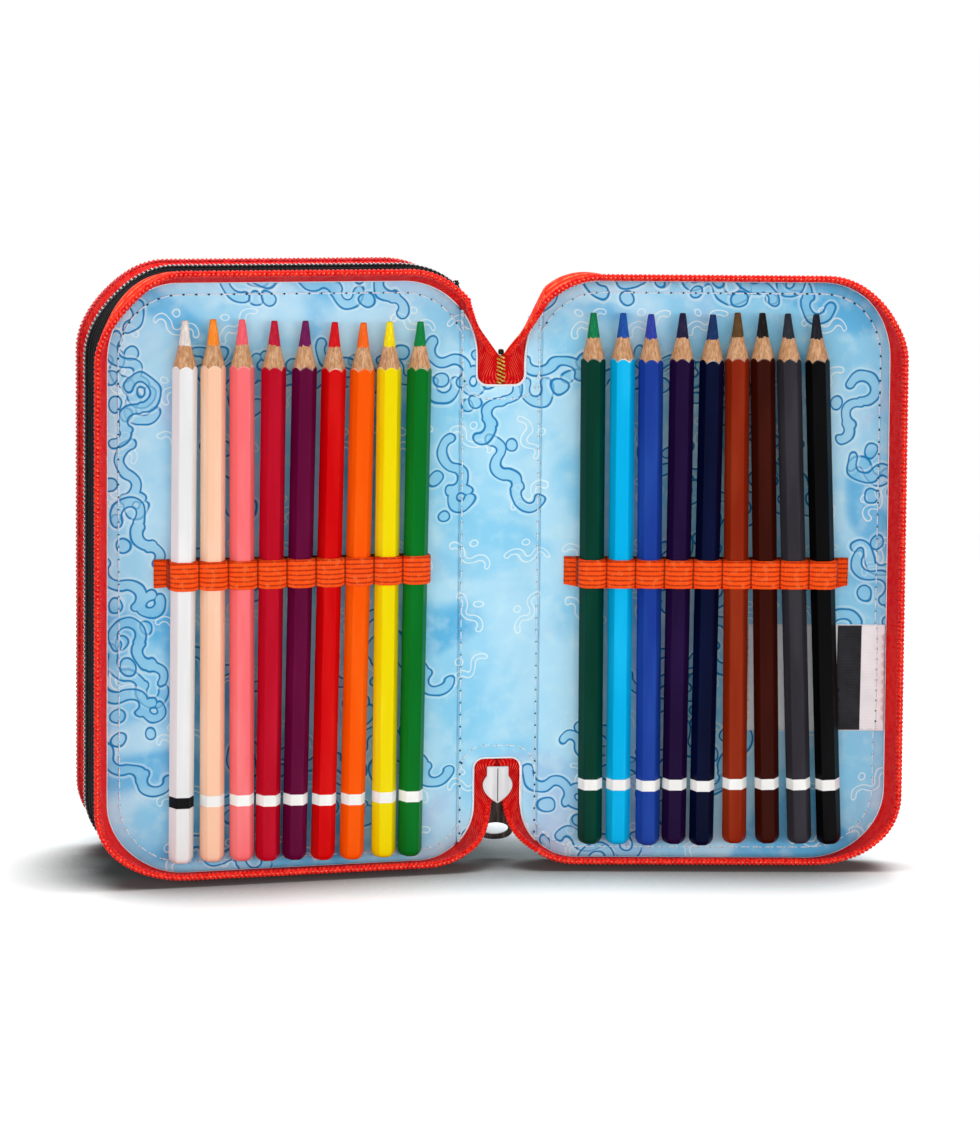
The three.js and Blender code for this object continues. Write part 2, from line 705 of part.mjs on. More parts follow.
function liningSheet(name, place) {
  return mesh(name, slab(trayShape(0, sewnGap), -liningThickness, 0, place), fabric(SKY));
}

// A closed compartment's spine, with the zip's two ends and its slider at the upper notch
function closedSpine(name, colour, back) {
  const group = new THREE.Group();
  group.position.set(0, back, 0);
  group.rotation.z = Math.PI / 2;
  const sliderTop = liningHeight - notchDepth + sliderLength + 2 * sewnGap;
  const slider = sliderGroup(name);
  slider.position.set(closedSpineWidth / 2, 0, sliderTop);
  slider.rotation.z = Math.PI;
  group.add(
    mesh(name + "_spine", spineBoard(closedSpineWidth, 0, -1), fabric(COVER)),
    closedEnd(name + "_zip_end_top", colour, false, sliderTop - wedgeTop),
    closedEnd(name + "_zip_end_bottom", colour, true, 0),
    slider,
  );
  return group;
}

// The stack: the left tray, the front divider and the middle compartment's front half
const stack = new THREE.Group();
stack.add(
  liningSheet("left_lining", leftFacing),
  panel("front_divider", -panelFace - dividerThickness, dividerThickness, leftFacing, SKY),
  ...zipHalf("left_zip", RED, leftBulge, sewnGap - panelFace, wallHeight, leftFacing),
  mesh("left_elastic", elasticGeometry(leftLoops, false, true, leftPencils.length, leftFacing), fabric(ORANGE)),
  ...zipHalf("middle_front_zip", BLACK, middleBulge, sewnGap, closedWallHeight, backwards(dividerBack)),
  ...pencils(leftPencils, leftLoops, -1),
);

// The rear leaf: the rear divider with a zip half on each side, and the back cover behind it
const leafFront = dividerBack + closedSpineWidth;
const leafThickness = dividerThickness + panelFace;
const leafBack = leafFront + leafThickness;
const coverFront = leafBack + closedSpineWidth;
stack.add(
  closedSpine("middle", BLACK, dividerBack),
  panel("rear_divider", -leafBack, leafThickness, leftFacing, SKY),
  ...zipHalf("middle_rear_zip", BLACK, middleBulge, sewnGap, closedWallHeight, forwards(leafFront)),
  ...zipHalf("rear_front_zip", RED, rearBulge, sewnGap, closedWallHeight, backwards(leafBack)),
  closedSpine("rear", RED, leafBack),
  panel("back_cover", -coverFront - coverThickness, coverThickness, leftFacing, COVER),
  ...zipHalf("rear_back_zip", RED, rearBulge, sewnGap, closedWallHeight, forwards(coverFront)),
);

// The front cover: its tray, the pencils and the sewn label
const cover = new THREE.Group();
const labelRight = liningWidth - sewnGap;
const patchRight = labelRight - patchFromEdge;
const labelFace = sewnGap * 2 / 3;
const patchFace = labelFace + labelThickness + labelFace;
cover.add(
  liningSheet("right_lining", rightFacing),
  panel("front_cover", -panelFace - coverThickness, coverThickness, rightFacing, COVER),
  ...zipHalf("right_zip", RED, rightBulge, sewnGap - panelFace, wallHeight, rightFacing),
  mesh("right_elastic", elasticGeometry(rightLoops, true, true, rightPencils.length, rightFacing), fabric(ORANGE)),
  mesh(
    "label",
    box(
      [labelRight - labelWidth, -labelFace - labelThickness, labelBottom],
      [labelRight, -labelFace, labelBottom + labelHeight],
    ),
    fabric(0xeeeef2),
  ),
  mesh(
    "label_patch",
    box(
      [patchRight - patchWidth, -patchFace - labelThickness / 2, labelBottom + sewnGap],
      [patchRight, -patchFace, labelBottom + labelHeight - sewnGap],
    ),
    fabric(BLACK),
  ),
  ...pencils(rightPencils, rightLoops, 1),
);
cover.position.x = frontSpineWidth;
cover.rotation.z = -foldAngle;

// The front spine between them, with the open zip's ends, its slider and its end stop
const frontSpine = new THREE.Group();
const frontSlider = sliderGroup("front");
const sliderAt = notchDepth - frontSliderBelowNotch;
frontSlider.position.set(frontSpineWidth / 2, 0, sliderAt);
const spread = wedgeWidth / 2 + sewnGap;
const stopFoot = liningHeight - notchDepth + chainLength + sewnGap;
const stopSide = chainWidth / 4;
const stopCentre = frontSpineWidth / 2;
frontSpine.add(
  mesh("front_spine", spineBoard(frontSpineWidth, panelFace, 1), fabric(COVER)),
  mesh("spine_lining", slab(spineShape(frontSpineWidth, sewnGap), -liningThickness, 0, rightFacing), fabric(SKY)),
  openEnd("front_zip_end_top", false, notchDepth - chainLength, notchDepth - 2 * sewnGap, 0),
  openEnd("front_zip_end_bottom", true, sliderAt - sliderLength, notchDepth - 2 * sewnGap, spread),
  mesh(
    "front_zip_stop",
    box(
      [stopCentre - stopSide, chainDepth - chainThickness / 2, stopFoot],
      [stopCentre + stopSide, chainDepth + chainThickness / 2, stopFoot + stopHeight],
    ),
    metal(BLACK),
  ),
  frontSlider,
  cover,
);
frontSpine.rotation.z = -foldAngle;

// The case stands on its panels' lower edges, with its origin below the middle of its bounding box
const model = new THREE.Group();
model.add(stack, frontSpine);
model.position.z = seamAllowance;
const root = new THREE.Group();
root.add(model);
const bounds = new THREE.Box3().setFromObject(root, true);
const middle = bounds.getCenter(new THREE.Vector3());
root.position.set(-middle.x, -middle.y, -bounds.min.z);

export default root;
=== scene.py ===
# %% [markdown]
# # A filled pencil case
# A fabric pencil case stands open like a book. It has three zipped compartments, and the front one shows
# two shallow trays with nine coloured pencils each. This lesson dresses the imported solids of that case:
# every fabric, zip, elastic band and pencil gets its own shape and finish, in the place the solids give it.

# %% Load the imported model
import math
import random

import bmesh
import bpy
import numpy as np
from mathutils import Matrix, Vector, noise
from mathutils.geometry import delaunay_2d_cdt


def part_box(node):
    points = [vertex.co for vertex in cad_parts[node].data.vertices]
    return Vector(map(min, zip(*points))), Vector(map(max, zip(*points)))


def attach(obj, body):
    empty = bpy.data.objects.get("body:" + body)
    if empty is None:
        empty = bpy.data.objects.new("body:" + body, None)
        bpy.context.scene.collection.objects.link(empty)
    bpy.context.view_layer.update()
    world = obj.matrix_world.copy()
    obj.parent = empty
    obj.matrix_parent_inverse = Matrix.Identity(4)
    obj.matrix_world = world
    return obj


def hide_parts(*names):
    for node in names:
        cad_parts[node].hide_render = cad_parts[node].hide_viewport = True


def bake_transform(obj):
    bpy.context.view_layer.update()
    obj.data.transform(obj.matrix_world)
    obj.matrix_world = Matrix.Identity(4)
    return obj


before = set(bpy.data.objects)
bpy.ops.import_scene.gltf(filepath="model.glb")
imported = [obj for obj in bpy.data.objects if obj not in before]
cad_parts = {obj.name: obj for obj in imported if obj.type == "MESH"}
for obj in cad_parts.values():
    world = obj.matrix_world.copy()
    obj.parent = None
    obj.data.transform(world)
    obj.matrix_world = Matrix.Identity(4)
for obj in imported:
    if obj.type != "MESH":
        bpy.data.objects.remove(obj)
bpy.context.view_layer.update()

# %% [markdown]
# ## Sizes of the real case
# All lengths are written in millimetres, and `MM` turns them into metres. They are the sizes that a
# maker would put on a drawing: the lining of one tray, the zip that stands round it, and the pencils.

# %% Named sizes
MM = 0.001
LINING_WIDTH, LINING_HEIGHT, CORNER = 114 * MM, 190.5 * MM, 24 * MM
SEWN_GAP, SEAM_ALLOWANCE = 0.3 * MM, 1.6 * MM
SPINE_WIDTH, CLOSED_SPINE = 26.6 * MM, 20.4 * MM
DIVIDER, COVER, SPINE_THICK = 2.2 * MM, 2.6 * MM, 1.8 * MM
FOLD = math.radians(5.9)
EAR, NOTCH, NOTCH_CORNER = 5.1 * MM, 34 * MM, 3.8 * MM
TAPE_SEWN_IN, TAPE_SOLID, TAPE_THICK = 0.2 * MM, 0.9 * MM, 0.6 * MM
COIL_HEIGHT, COIL_THICK, COIL_PROUD, COIL_GAP = 2.6 * MM, 2.4 * MM, 0.4 * MM, 0.2 * MM
TOOTH_PITCH = 1.44 * MM
FOOT_CORNER = 18 * MM  # the corners beside the lower notch are sewn tighter
OUTER_CENTRE = LINING_WIDTH - CORNER
OUTER_ZONE = 19 * MM  # the strip of a side, at its outer edge, that leans and widens
UPPER = LINING_HEIGHT - CORNER
OPEN_WALL = SPINE_WIDTH / 2 - COIL_GAP
CLOSED_WALL = CLOSED_SPINE / 2 - 0.15 * MM
PANEL_FACE = 0.8 * MM
DIVIDER_BACK = PANEL_FACE + DIVIDER
LEAF_FRONT = DIVIDER_BACK + CLOSED_SPINE
LEAF_BACK = LEAF_FRONT + DIVIDER + PANEL_FACE
COVER_FRONT = LEAF_BACK + CLOSED_SPINE
PITCH, BAND_HEIGHT = 9.4 * MM, 9.2 * MM
CHAIN_DEPTH = PANEL_FACE + 0.4 * MM

BULGES = {  # in mm, how far a zip's free edge stands outside its lining's edge
    "left": dict(outer=5.7, top=4.1, bottom=-0.9, inner=3.3),
    "right": dict(outer=4.4, top=2.0, bottom=-1.0, inner=2.8),
    "middle": dict(outer=5.6, top=4.2, bottom=-0.9, inner=4.0),
    "rear": dict(outer=5.8, top=4.3, bottom=-0.9, inner=1.0),
}

low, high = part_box("left_lining")
FOLD_LINE = Vector((high.x + SEWN_GAP, low.y, low.z))
print("left fold line at", [round(c / MM, 2) for c in FOLD_LINE], "mm")

# %% [markdown]
# ## Two helpers for shapes
# A case is made of flat sides that are joined at folds. On each side it is easiest to think in three
# directions: `u` along the side from its fold, `d` out of its lining, and `w` upwards. A `Side` turns such
# a place into a point of the scene, so no piece is ever moved or turned after it is made.

# %% Sides of the case
UP = np.array([0.0, 0.0, 1.0])


class Side:
    """A flat side of the case. u runs from its fold, d out of its face and w upwards. A hand-sewn tray isn't
    quite square: its outer edge leans in at the top by skew, about a level, and stands wider by a little."""

    def __init__(self, origin, along, out, skew=0.0, level=0.5, wider=0.0):
        self.origin = np.array(origin, float)
        self.along = np.array(along, float)
        self.out = np.array(out, float)
        self.skew, self.level, self.wider = skew * MM, level, wider * MM

    def at(self, u, d, w):
        u, d, w = np.broadcast_arrays(*[np.asarray(v, float) for v in (u, d, w)])
        near_edge = np.clip((u - LINING_WIDTH + OUTER_ZONE) / OUTER_ZONE, 0, 1) ** 2
        u = u - near_edge * (self.skew * (w / LINING_HEIGHT - self.level) - self.wider)
        return self.origin + u[..., None] * self.along + d[..., None] * self.out + w[..., None] * UP

    def turned(self, u, w):
        """A direction on the side."""
        u, w = np.broadcast_arrays(*[np.asarray(v, float) for v in (u, w)])
        return u[..., None] * self.along + w[..., None] * UP


def heading(angle):
    return (math.cos(angle), math.sin(angle), 0), (math.sin(angle), -math.cos(angle), 0)


def behind(depth, facing_back):
    """A closed side whose face lies this far behind the left lining's face."""
    origin = FOLD_LINE + Vector((0, depth, 0))
    return Side(origin, (-1, 0, 0), (0, 1 if facing_back else -1, 0), 2.4, 0.5, 0.8)


LEFT = Side(FOLD_LINE, (-1, 0, 0), (0, -1, 0), 2.4, 0.5)
SPINE = Side(FOLD_LINE, *heading(-FOLD))
RIGHT = Side(SPINE.at(SPINE_WIDTH, 0, 0), *heading(-2 * FOLD), 3.0, 0.33)
MIDDLE_FRONT, MIDDLE_REAR = behind(DIVIDER_BACK, True), behind(LEAF_FRONT, False)
REAR_FRONT, REAR_BACK = behind(LEAF_BACK, True), behind(COVER_FRONT, False)
MIDDLE_SPINE = Side(MIDDLE_FRONT.origin, (0, 1, 0), (-1, 0, 0))
REAR_SPINE = Side(REAR_FRONT.origin, (0, 1, 0), (-1, 0, 0))
print("right tray's fold at", np.round(RIGHT.origin / MM, 1), "mm")

# %% [markdown]
# Every tray has the same outline: a rounded oblong, cut straight along its fold. A zip's free edge bulges
# outwards from it by a different amount on each side, because the fabric is soft. `rail` walks round such
# an outline and gives each station's place and the direction in which the edge faces there.

# %% Outlines of trays and spines
def bulge_at(name, angle):
    out, up = math.cos(angle), math.sin(angle)
    b = BULGES[name]
    side = (b["outer"] if out > 0 else b["inner"]) * out * out
    return (side + (b["top"] if up > 0 else b["bottom"]) * up * up) * MM


def rail(offset_at, gap=SEWN_GAP, step=3 * MM):
    """Stations from the fold over the top and round to the fold below, as rows of u, w and angle."""
    def reach(size, sign):
        found = math.acos((size - EAR) / size)
        for _ in range(8):
            radius = size + offset_at(sign * (math.pi - found))
            found = math.acos((size - EAR - gap) / radius)
        return found

    arcs = [
        (CORNER - EAR, UPPER, CORNER, math.pi - reach(CORNER, 1), math.pi / 2, 14),
        (OUTER_CENTRE, UPPER, CORNER, math.pi / 2, 0, 24),
        (OUTER_CENTRE, CORNER, CORNER, 0, -math.pi / 2, 24),
        (FOOT_CORNER - EAR, FOOT_CORNER, FOOT_CORNER, -math.pi / 2, reach(FOOT_CORNER, -1) - math.pi, 14),
    ]
    rows = []
    for k, (u, w, size, start, end, count) in enumerate(arcs):
        for i in range(count + 1):
            rows.append((u, w, size, start + (end - start) * i / count))
        if k < 3:
            here, after = np.array((u, w, size)), np.array(arcs[k + 1][:3])
            pieces = max(2, round(np.linalg.norm((after - here)[:2]) / step))
            for i in range(1, pieces):
                rows.append((*(here + (after - here) * i / pieces), end))
    made = []
    for u, w, size, angle in rows:
        radius = size + offset_at(angle)
        made.append((u + radius * math.cos(angle), w + radius * math.sin(angle), angle))
    return np.array(made)


def tray_outline(offset, gap=SEWN_GAP):
    """A tray's closed outline as rows of u and w, anticlockwise."""
    return rail(lambda angle: offset, gap)[::-1, :2]


def arc(u, w, radius, start, end, count):
    angles = np.linspace(start, end, count + 1)
    return np.column_stack([u + radius * np.cos(angles), w + radius * np.sin(angles)])


def notch_edge(width, gap, lower, grown=0.0):
    """A spine's end, from its left ear over the notch to its right ear. grown moves it into the notch."""
    size = FOOT_CORNER if lower else CORNER
    radius = size + grown
    reach = math.acos((size - EAR + gap) / radius)
    inner = NOTCH_CORNER - grown
    side, floor = EAR + NOTCH_CORNER, NOTCH - NOTCH_CORNER
    half = math.pi / 2
    parts = [
        arc(EAR - size, size, radius, -reach, 0, 8),
        arc(side, floor, inner, 2 * half, half, 8),
        arc(width - side, floor, inner, half, 0, 8),
        arc(width + size - EAR, size, radius, 2 * half, 2 * half + reach, 8),
    ]
    path = np.vstack(parts)
    return path if lower else path * [1, -1] + [0, LINING_HEIGHT]


def foot_of(lower):
    """How far above a spine's end its outline meets the fold."""
    size = FOOT_CORNER if lower else CORNER
    return size - math.sqrt(size**2 - (size - EAR) ** 2)


def spine_outline(width, gap, grown=0.0):
    """A spine's closed outline: a strip with a notch at each end, anticlockwise."""
    return np.vstack([notch_edge(width, gap, True, grown), notch_edge(width, gap, False, grown)[::-1]])


def tray_path(side, offset, depth, gap=0.4 * MM):
    """A line round a tray, this far outside its lining's edge and out of its face."""
    stations = rail(lambda angle: offset, gap)
    return side.at(stations[:, 0], depth, stations[:, 1])


print("stations round a tray:", len(rail(lambda angle: 0.0)))

# %% [markdown]
# ## Making meshes
# Most pieces are sheets or skins that follow two directions, so a grid of points does the work. `piece`
# turns points and faces into an object that stays at the origin, and gives it a UV map in real metres, so
# that a weave keeps its true size on every fabric.

# %% Mesh helpers
def in_scene(name, data):
    made = bpy.data.objects.new(name, data)
    bpy.context.scene.collection.objects.link(made)
    return made


def piece(name, points, faces, materials, marks=None, uv=None, smooth=True, closed=True):
    mesh = bpy.data.meshes.new(name)
    mesh.from_pydata([tuple(p) for p in np.asarray(points, float).reshape(-1, 3)], [], faces)
    for material in materials:
        mesh.materials.append(material)
    if marks is not None:
        mesh.polygons.foreach_set("material_index", np.asarray(marks, np.int32))
    if uv is not None:
        layer = mesh.uv_layers.new(name="UVMap")
        corners = np.zeros(len(mesh.loops), np.int32)
        mesh.loops.foreach_get("vertex_index", corners)
        layer.data.foreach_set("uv", np.asarray(uv, float).reshape(-1, 2)[corners].ravel())
    mesh.polygons.foreach_set("use_smooth", np.full(len(mesh.polygons), smooth))
    if closed:
        shell = bmesh.new()
        shell.from_mesh(mesh)
        bmesh.ops.recalc_face_normals(shell, faces=shell.faces)
        shell.to_mesh(mesh)
        shell.free()
    mesh.validate()
    return in_scene(name, mesh)


def grid_faces(rows, columns, ring=False, first=0):
    """Quads between rows of points. A ring's last column joins its first."""
    faces = []
    for r in range(rows - 1):
        for c in range(columns if ring else columns - 1):
            n = (c + 1) % columns
            a, b = first + r * columns, first + (r + 1) * columns
            faces.append((a + c, a + n, b + n, b + c))
    return faces


def end_faces(rows, columns):
    """The two faces that close a tube of rows."""
    return [tuple(range(columns))[::-1], tuple((rows - 1) * columns + c for c in range(columns))]


def run_of(points):
    """How far along a line each of its points is."""
    return np.r_[0, np.cumsum(np.linalg.norm(np.diff(points, axis=0), axis=1))]


def skin(name, rings, uvs, cloths):
    """A closed skin of two cloths. Its lines go over one side of a tape and back under the other."""
    rows, columns = len(rings), len(rings[0])
    last = (rows - 1) * columns
    faces = grid_faces(rows, columns)
    faces += [(last + c, last + c + 1, c + 1, c) for c in range(columns - 1)]
    half = (rows // 2 - 1) * (columns - 1)
    marks = [0] * half + [1] * (len(faces) - half + 2)
    for column in (0, columns - 1):
        cap = [r * columns + column for r in range(rows)]
        faces.append(tuple(cap if column else cap[::-1]))
    return piece(name, np.vstack(rings), faces, cloths, marks=marks, uv=np.vstack(uvs))


def inset_of(outline, amount):
    """An anticlockwise outline moved inwards along its corner normals."""
    before, after = np.roll(outline, 1, 0), np.roll(outline, -1, 0)
    def normals(step):
        step = step / np.maximum(np.linalg.norm(step, axis=1), 1e-9)[:, None]
        return np.column_stack([-step[:, 1], step[:, 0]])
    a, b = normals(outline - before), normals(after - outline)
    miter = a + b
    miter /= np.maximum(1 + (a * b).sum(1), 0.5)[:, None]
    return outline + amount * miter


def dense(outline, step):
    """A closed outline with extra points on its long edges."""
    points = []
    for a, b in zip(outline, np.roll(outline, -1, 0)):
        pieces = max(1, math.ceil(np.linalg.norm(b - a) / step))
        points += [a + (b - a) * i / pieces for i in range(pieces)]
    points = np.array(points)
    apart = np.linalg.norm(points - np.roll(points, -1, 0), axis=1) > 0.02 * MM
    return points[apart]


def from_edge(points, outline):
    """How far points lie from an outline, and whether they are inside it."""
    best, odd = np.full(len(points), 1.0), np.zeros(len(points), bool)
    x, y = points.T
    for a, b in zip(outline, np.roll(outline, -1, 0)):
        step = b - a
        share = np.clip((points - a) @ step / (step @ step), 0, 1)
        best = np.minimum(best, np.linalg.norm(points - a - share[:, None] * step, axis=1))
        crosses = (a[1] > y) != (b[1] > y)
        odd ^= crosses & (x < a[0] + (b[0] - a[0]) * (y - a[1]) / (b[1] - a[1] + 1e-15))
    return best, odd


def panel(name, side, outline, front, back, cloth, print_at=lambda p: p, insets=(0.5, 1.2, 2.2), spacing=4):
    """A closed panel of cloth or padding. front and back give its faces' depth at points, from their distance
    to its edge."""
    edge = dense(outline, 3 * MM)
    rings = [edge] + [inset_of(edge, amount * MM) for amount in insets]
    low, high = edge.min(0), edge.max(0)
    across, up = np.meshgrid(*[np.arange(low[k], high[k], spacing * MM) for k in (0, 1)])
    loose = np.column_stack([across.ravel(), up.ravel()])
    away, within = from_edge(loose, edge)
    flat = np.vstack(rings + [loose[within & (away > (insets[-1] + 0.4 * spacing) * MM)]])
    links = [(i, (i + 1) % len(edge)) for i in range(len(edge))]
    made = delaunay_2d_cdt([Vector(p) for p in flat], links, [], 1, 1e-8)
    places = np.array([tuple(p) for p in made[0]])
    rim = {source: i for i, sources in enumerate(made[3]) for source in sources}
    away = from_edge(places, edge)[0]
    total = len(places)
    points = [side.at(places[:, 0], face(places, away), places[:, 1]) for face in (front, back)]
    faces = [tuple(f) for f in made[2]] + [tuple(total + i for i in f[::-1]) for f in made[2]]
    faces += [(rim[a], rim[b], total + rim[b], total + rim[a]) for a, b in links]
    return piece(name, np.vstack(points), faces, [cloth], uv=np.vstack([print_at(places)] * 2))


def rounded(away, radius):
    """How far a rounded edge has fallen at a distance from the rim."""
    short = np.clip(radius - away, 0, radius)
    return radius - np.sqrt(radius**2 - short**2)


def tube(name, points, radius, materials, sides=8, around=None):
    """A closed tube along points. around gives one steady direction that is never along it."""
    points = np.asarray(points, float)
    ahead = np.gradient(points, axis=0)
    ahead /= np.linalg.norm(ahead, axis=1)[:, None]
    one = np.cross(ahead, around)
    one /= np.linalg.norm(one, axis=1)[:, None]
    two = np.cross(ahead, one)
    run = run_of(points)
    turns = np.linspace(0, 2 * math.pi, sides, endpoint=False)
    rings, uvs = [], []
    for i, place in enumerate(points):
        fit = radius * (0.6 if i in (0, len(points) - 1) else 1)
        rings.append(place + fit * (np.cos(turns)[:, None] * one[i] + np.sin(turns)[:, None] * two[i]))
        uvs.append(np.column_stack([np.full(sides, run[i]), turns * radius]))
    faces = grid_faces(len(points), sides, ring=True) + end_faces(len(points), sides)
    return piece(name, np.vstack(rings), faces, materials, uv=np.vstack(uvs))


def finished(made):
    """Turns what an object's modifiers show into its own plain, smooth mesh."""
    seen = made.evaluated_get(bpy.context.evaluated_depsgraph_get())
    mesh = bpy.data.meshes.new_from_object(seen)
    made.modifiers.clear()
    made.data = mesh
    mesh.polygons.foreach_set("use_smooth", np.ones(len(mesh.polygons), bool))
    return made


def seat(made, body, slot, *nodes):
    """Rides a piece on its body, and hides the solids that it stands for. Its slot is not used."""
    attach(made, body)
    if nodes:
        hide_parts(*nodes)
    return made


def bend_at_fold(made, near, far, fold, along, slot, *nodes, reach=5 * MM):
    """Bakes a piece's place into its mesh, and hides the solids that it stands for."""
    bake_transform(made)
    if nodes:
        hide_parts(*nodes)


# %% [markdown]
# ## Making materials
# Each material starts from what the real one is. Colours are written as they look on a screen, in hex, and
# one function turns them into the linear values that the shader needs. One more small function adds a node
# with its settings and links, so that a whole material reads as a short list.

# %% Node helpers
def linear(code, alpha=1.0):
    parts = [int(code[i : i + 2], 16) / 255 for i in (1, 3, 5)]
    return [c / 12.92 if c <= 0.04045 else ((c + 0.055) / 1.055) ** 2.4 for c in parts] + [alpha]


def add(tree, kind, links=None, **settings):
    """Adds a node. Its inputs are named or numbered, and take a value or another node's output."""
    node = tree.nodes.new(kind)
    for key, value in settings.items():
        setattr(node, key, value)
    for key, value in (links or {}).items():
        if isinstance(value, bpy.types.NodeSocket):
            tree.links.new(value, node.inputs[key])
        else:
            node.inputs[key].default_value = value
    return node


def calc(tree, operation, *values, clamp=False):
    """One step of arithmetic."""
    links = dict(enumerate(values))
    return add(tree, "ShaderNodeMath", links, operation=operation, use_clamp=clamp).outputs[0]


def blend(tree, factor, first, second):
    """Mixes two colours. Each is a hex code, a list of values or another node's output."""
    first, second = (linear(tone) if isinstance(tone, str) else tone for tone in (first, second))
    mixed = add(tree, "ShaderNodeMix", {0: factor, 6: first, 7: second}, data_type="RGBA")
    return mixed.outputs[2]


def ramp(tree, value, low, high, start=0.0, end=1.0):
    """Turns low..high of a value into start..end, softly."""
    links = {"Value": value, "From Min": low, "From Max": high, "To Min": start, "To Max": end}
    return add(tree, "ShaderNodeMapRange", links, interpolation_type="SMOOTHSTEP").outputs[0]


def finish(name, **sockets):
    """A new material with its shader's plain values set. Returns it with its tree and shader."""
    material = bpy.data.materials.new(name)
    material.use_nodes = True
    tree = material.node_tree
    shader = tree.nodes["Principled BSDF"]
    for key, value in sockets.items():
        shader.inputs[key.replace("_", " ")].default_value = value
    return material, tree, shader


def vectors(tree, operation, *values, output=0, **named):
    """One step of arithmetic on vectors."""
    links = {**dict(enumerate(values)), **named}
    return add(tree, "ShaderNodeVectorMath", links, operation=operation).outputs[output]


def cloudy(tree, place, scale, detail=2.0, distortion=0.0, output=0):
    """Soft noise, from 0 to 1."""
    links = {"Vector": place, "Scale": scale, "Detail": detail, "Distortion": distortion}
    return add(tree, "ShaderNodeTexNoise", links).outputs[output]


def inner_place(tree, squeeze=1.0, turned=(0, 0, 0)):
    """A place in the solid material. Squeezed along its height, textures turn into long streaks."""
    place = add(tree, "ShaderNodeTexCoord").outputs["Object"]
    links = {"Vector": place, "Scale": (1, 1, squeeze), "Rotation": turned}
    return add(tree, "ShaderNodeMapping", links).outputs[0]


def surface(tree, shader, colour, height, strength, distance):
    """Gives a shader its colour, and its relief from a height."""
    node = add(tree, "ShaderNodeBump", {"Height": height, "Strength": strength, "Distance": distance})
    tree.links.new(node.outputs[0], shader.inputs["Normal"])
    tree.links.new(colour, shader.inputs["Base Color"])


def own_uv(tree):
    """The piece's own UV map, in metres, as separate outputs and as one."""
    uv = add(tree, "ShaderNodeUVMap", uv_map="UVMap").outputs[0]
    parts = add(tree, "ShaderNodeSeparateXYZ", {0: uv})
    return uv, parts.outputs[0], parts.outputs[1]


def waves(tree, u, v, angle, spacing):
    """Straight ribs at an angle to u, as a wave from 0 to 1."""
    parts = [calc(tree, "MULTIPLY", u, math.cos(angle)), calc(tree, "MULTIPLY", v, math.sin(angle))]
    phase = calc(tree, "MULTIPLY", calc(tree, "ADD", *parts), 2 * math.pi / spacing)
    return calc(tree, "MULTIPLY_ADD", calc(tree, "SINE", phase), 0.5, 0.5)


def weave(tree, u, v, spacing):
    """A plain weave: warp and weft threads pass over each other in turn."""
    warp = waves(tree, u, v, 0, 2 * spacing)
    weft = waves(tree, u, v, math.pi / 2, 2 * spacing)
    return calc(tree, "ABSOLUTE", calc(tree, "SUBTRACT", warp, weft))


print("helpers ready")

# %% [markdown]
# ## Lining fabric
# The trays are lined with a smooth printed polyester taffeta: a sky washed in like watercolour, with outlined
# gusts of wind and drops scattered over it at every angle. The print is drawn from distances: a gust is the
# union of a few arcs, and its outline is where that distance is near zero. The UV map is in metres, and runs
# on from the left tray over the spine to the right one, so that the print does too.

# %% Printed lining
def scattered(tree, uv, cell, shift, tilt):
    """Gives each cell of a grid its own turned frame in millimetres, and random numbers."""
    links = {"Vector": uv, "Location": shift, "Scale": (1 / cell,) * 3}
    moved = add(tree, "ShaderNodeMapping", links).outputs[0]
    corner = vectors(tree, "FLOOR", moved)
    local = vectors(tree, "SUBTRACT", vectors(tree, "SUBTRACT", moved, corner), (0.5, 0.5, 0))
    local = vectors(tree, "SCALE", local, Scale=cell / MM)
    chance = add(tree, "ShaderNodeTexWhiteNoise", {"Vector": corner})
    angle = calc(tree, "MULTIPLY_ADD", chance.outputs["Value"], 2 * tilt, -tilt)
    turned = add(tree, "ShaderNodeVectorRotate", {"Vector": local, "Angle": angle}, rotation_type="Z_AXIS")
    return turned.outputs[0], add(tree, "ShaderNodeSeparateColor", {0: chance.outputs["Color"]})


def folded(tree, place):
    """A place mirrored to y above zero."""
    parts = add(tree, "ShaderNodeSeparateXYZ", {0: place}).outputs
    return add(tree, "ShaderNodeCombineXYZ", {0: parts[0], 1: calc(tree, "ABSOLUTE", parts[1])}).outputs[0]


def arcs(tree, place, parts, radius):
    """Distance in millimetres to a set of strokes with round ends, below zero inside them. Each stroke is an
    arc: its centre's x and y, its radius, the direction of its middle and half its opening, in degrees."""
    found = None
    for x, y, ring, middle, half in parts:
        links = {"Vector": place, "Location": (x, y, 0), "Rotation": (0, 0, math.radians(middle))}
        own = add(tree, "ShaderNodeMapping", links, vector_type="TEXTURE").outputs[0]
        if half < 180:
            own = folded(tree, own)
        away = vectors(tree, "LENGTH", own, output="Value")
        away = calc(tree, "ABSOLUTE", calc(tree, "SUBTRACT", away, ring))
        if half < 180:
            out, up = math.cos(math.radians(half)), math.sin(math.radians(half))
            past = vectors(tree, "DOT_PRODUCT", own, (-up, out, 0), output="Value")
            tip = vectors(tree, "DISTANCE", own, (ring * out, ring * up, 0), output="Value")
            past = calc(tree, "GREATER_THAN", past, 0.0)
            more = calc(tree, "MULTIPLY", calc(tree, "SUBTRACT", tip, away), past)
            away = calc(tree, "ADD", away, more)
        found = away if found is None else calc(tree, "MINIMUM", found, away)
    return calc(tree, "SUBTRACT", found, radius)


def line_at(tree, distance, level, half, soft=0.12):
    """1 on a line where a distance has a level, 0 away from it."""
    off = calc(tree, "ABSOLUTE", calc(tree, "SUBTRACT", distance, level))
    return ramp(tree, off, half - soft, half + soft, 1.0, 0.0)


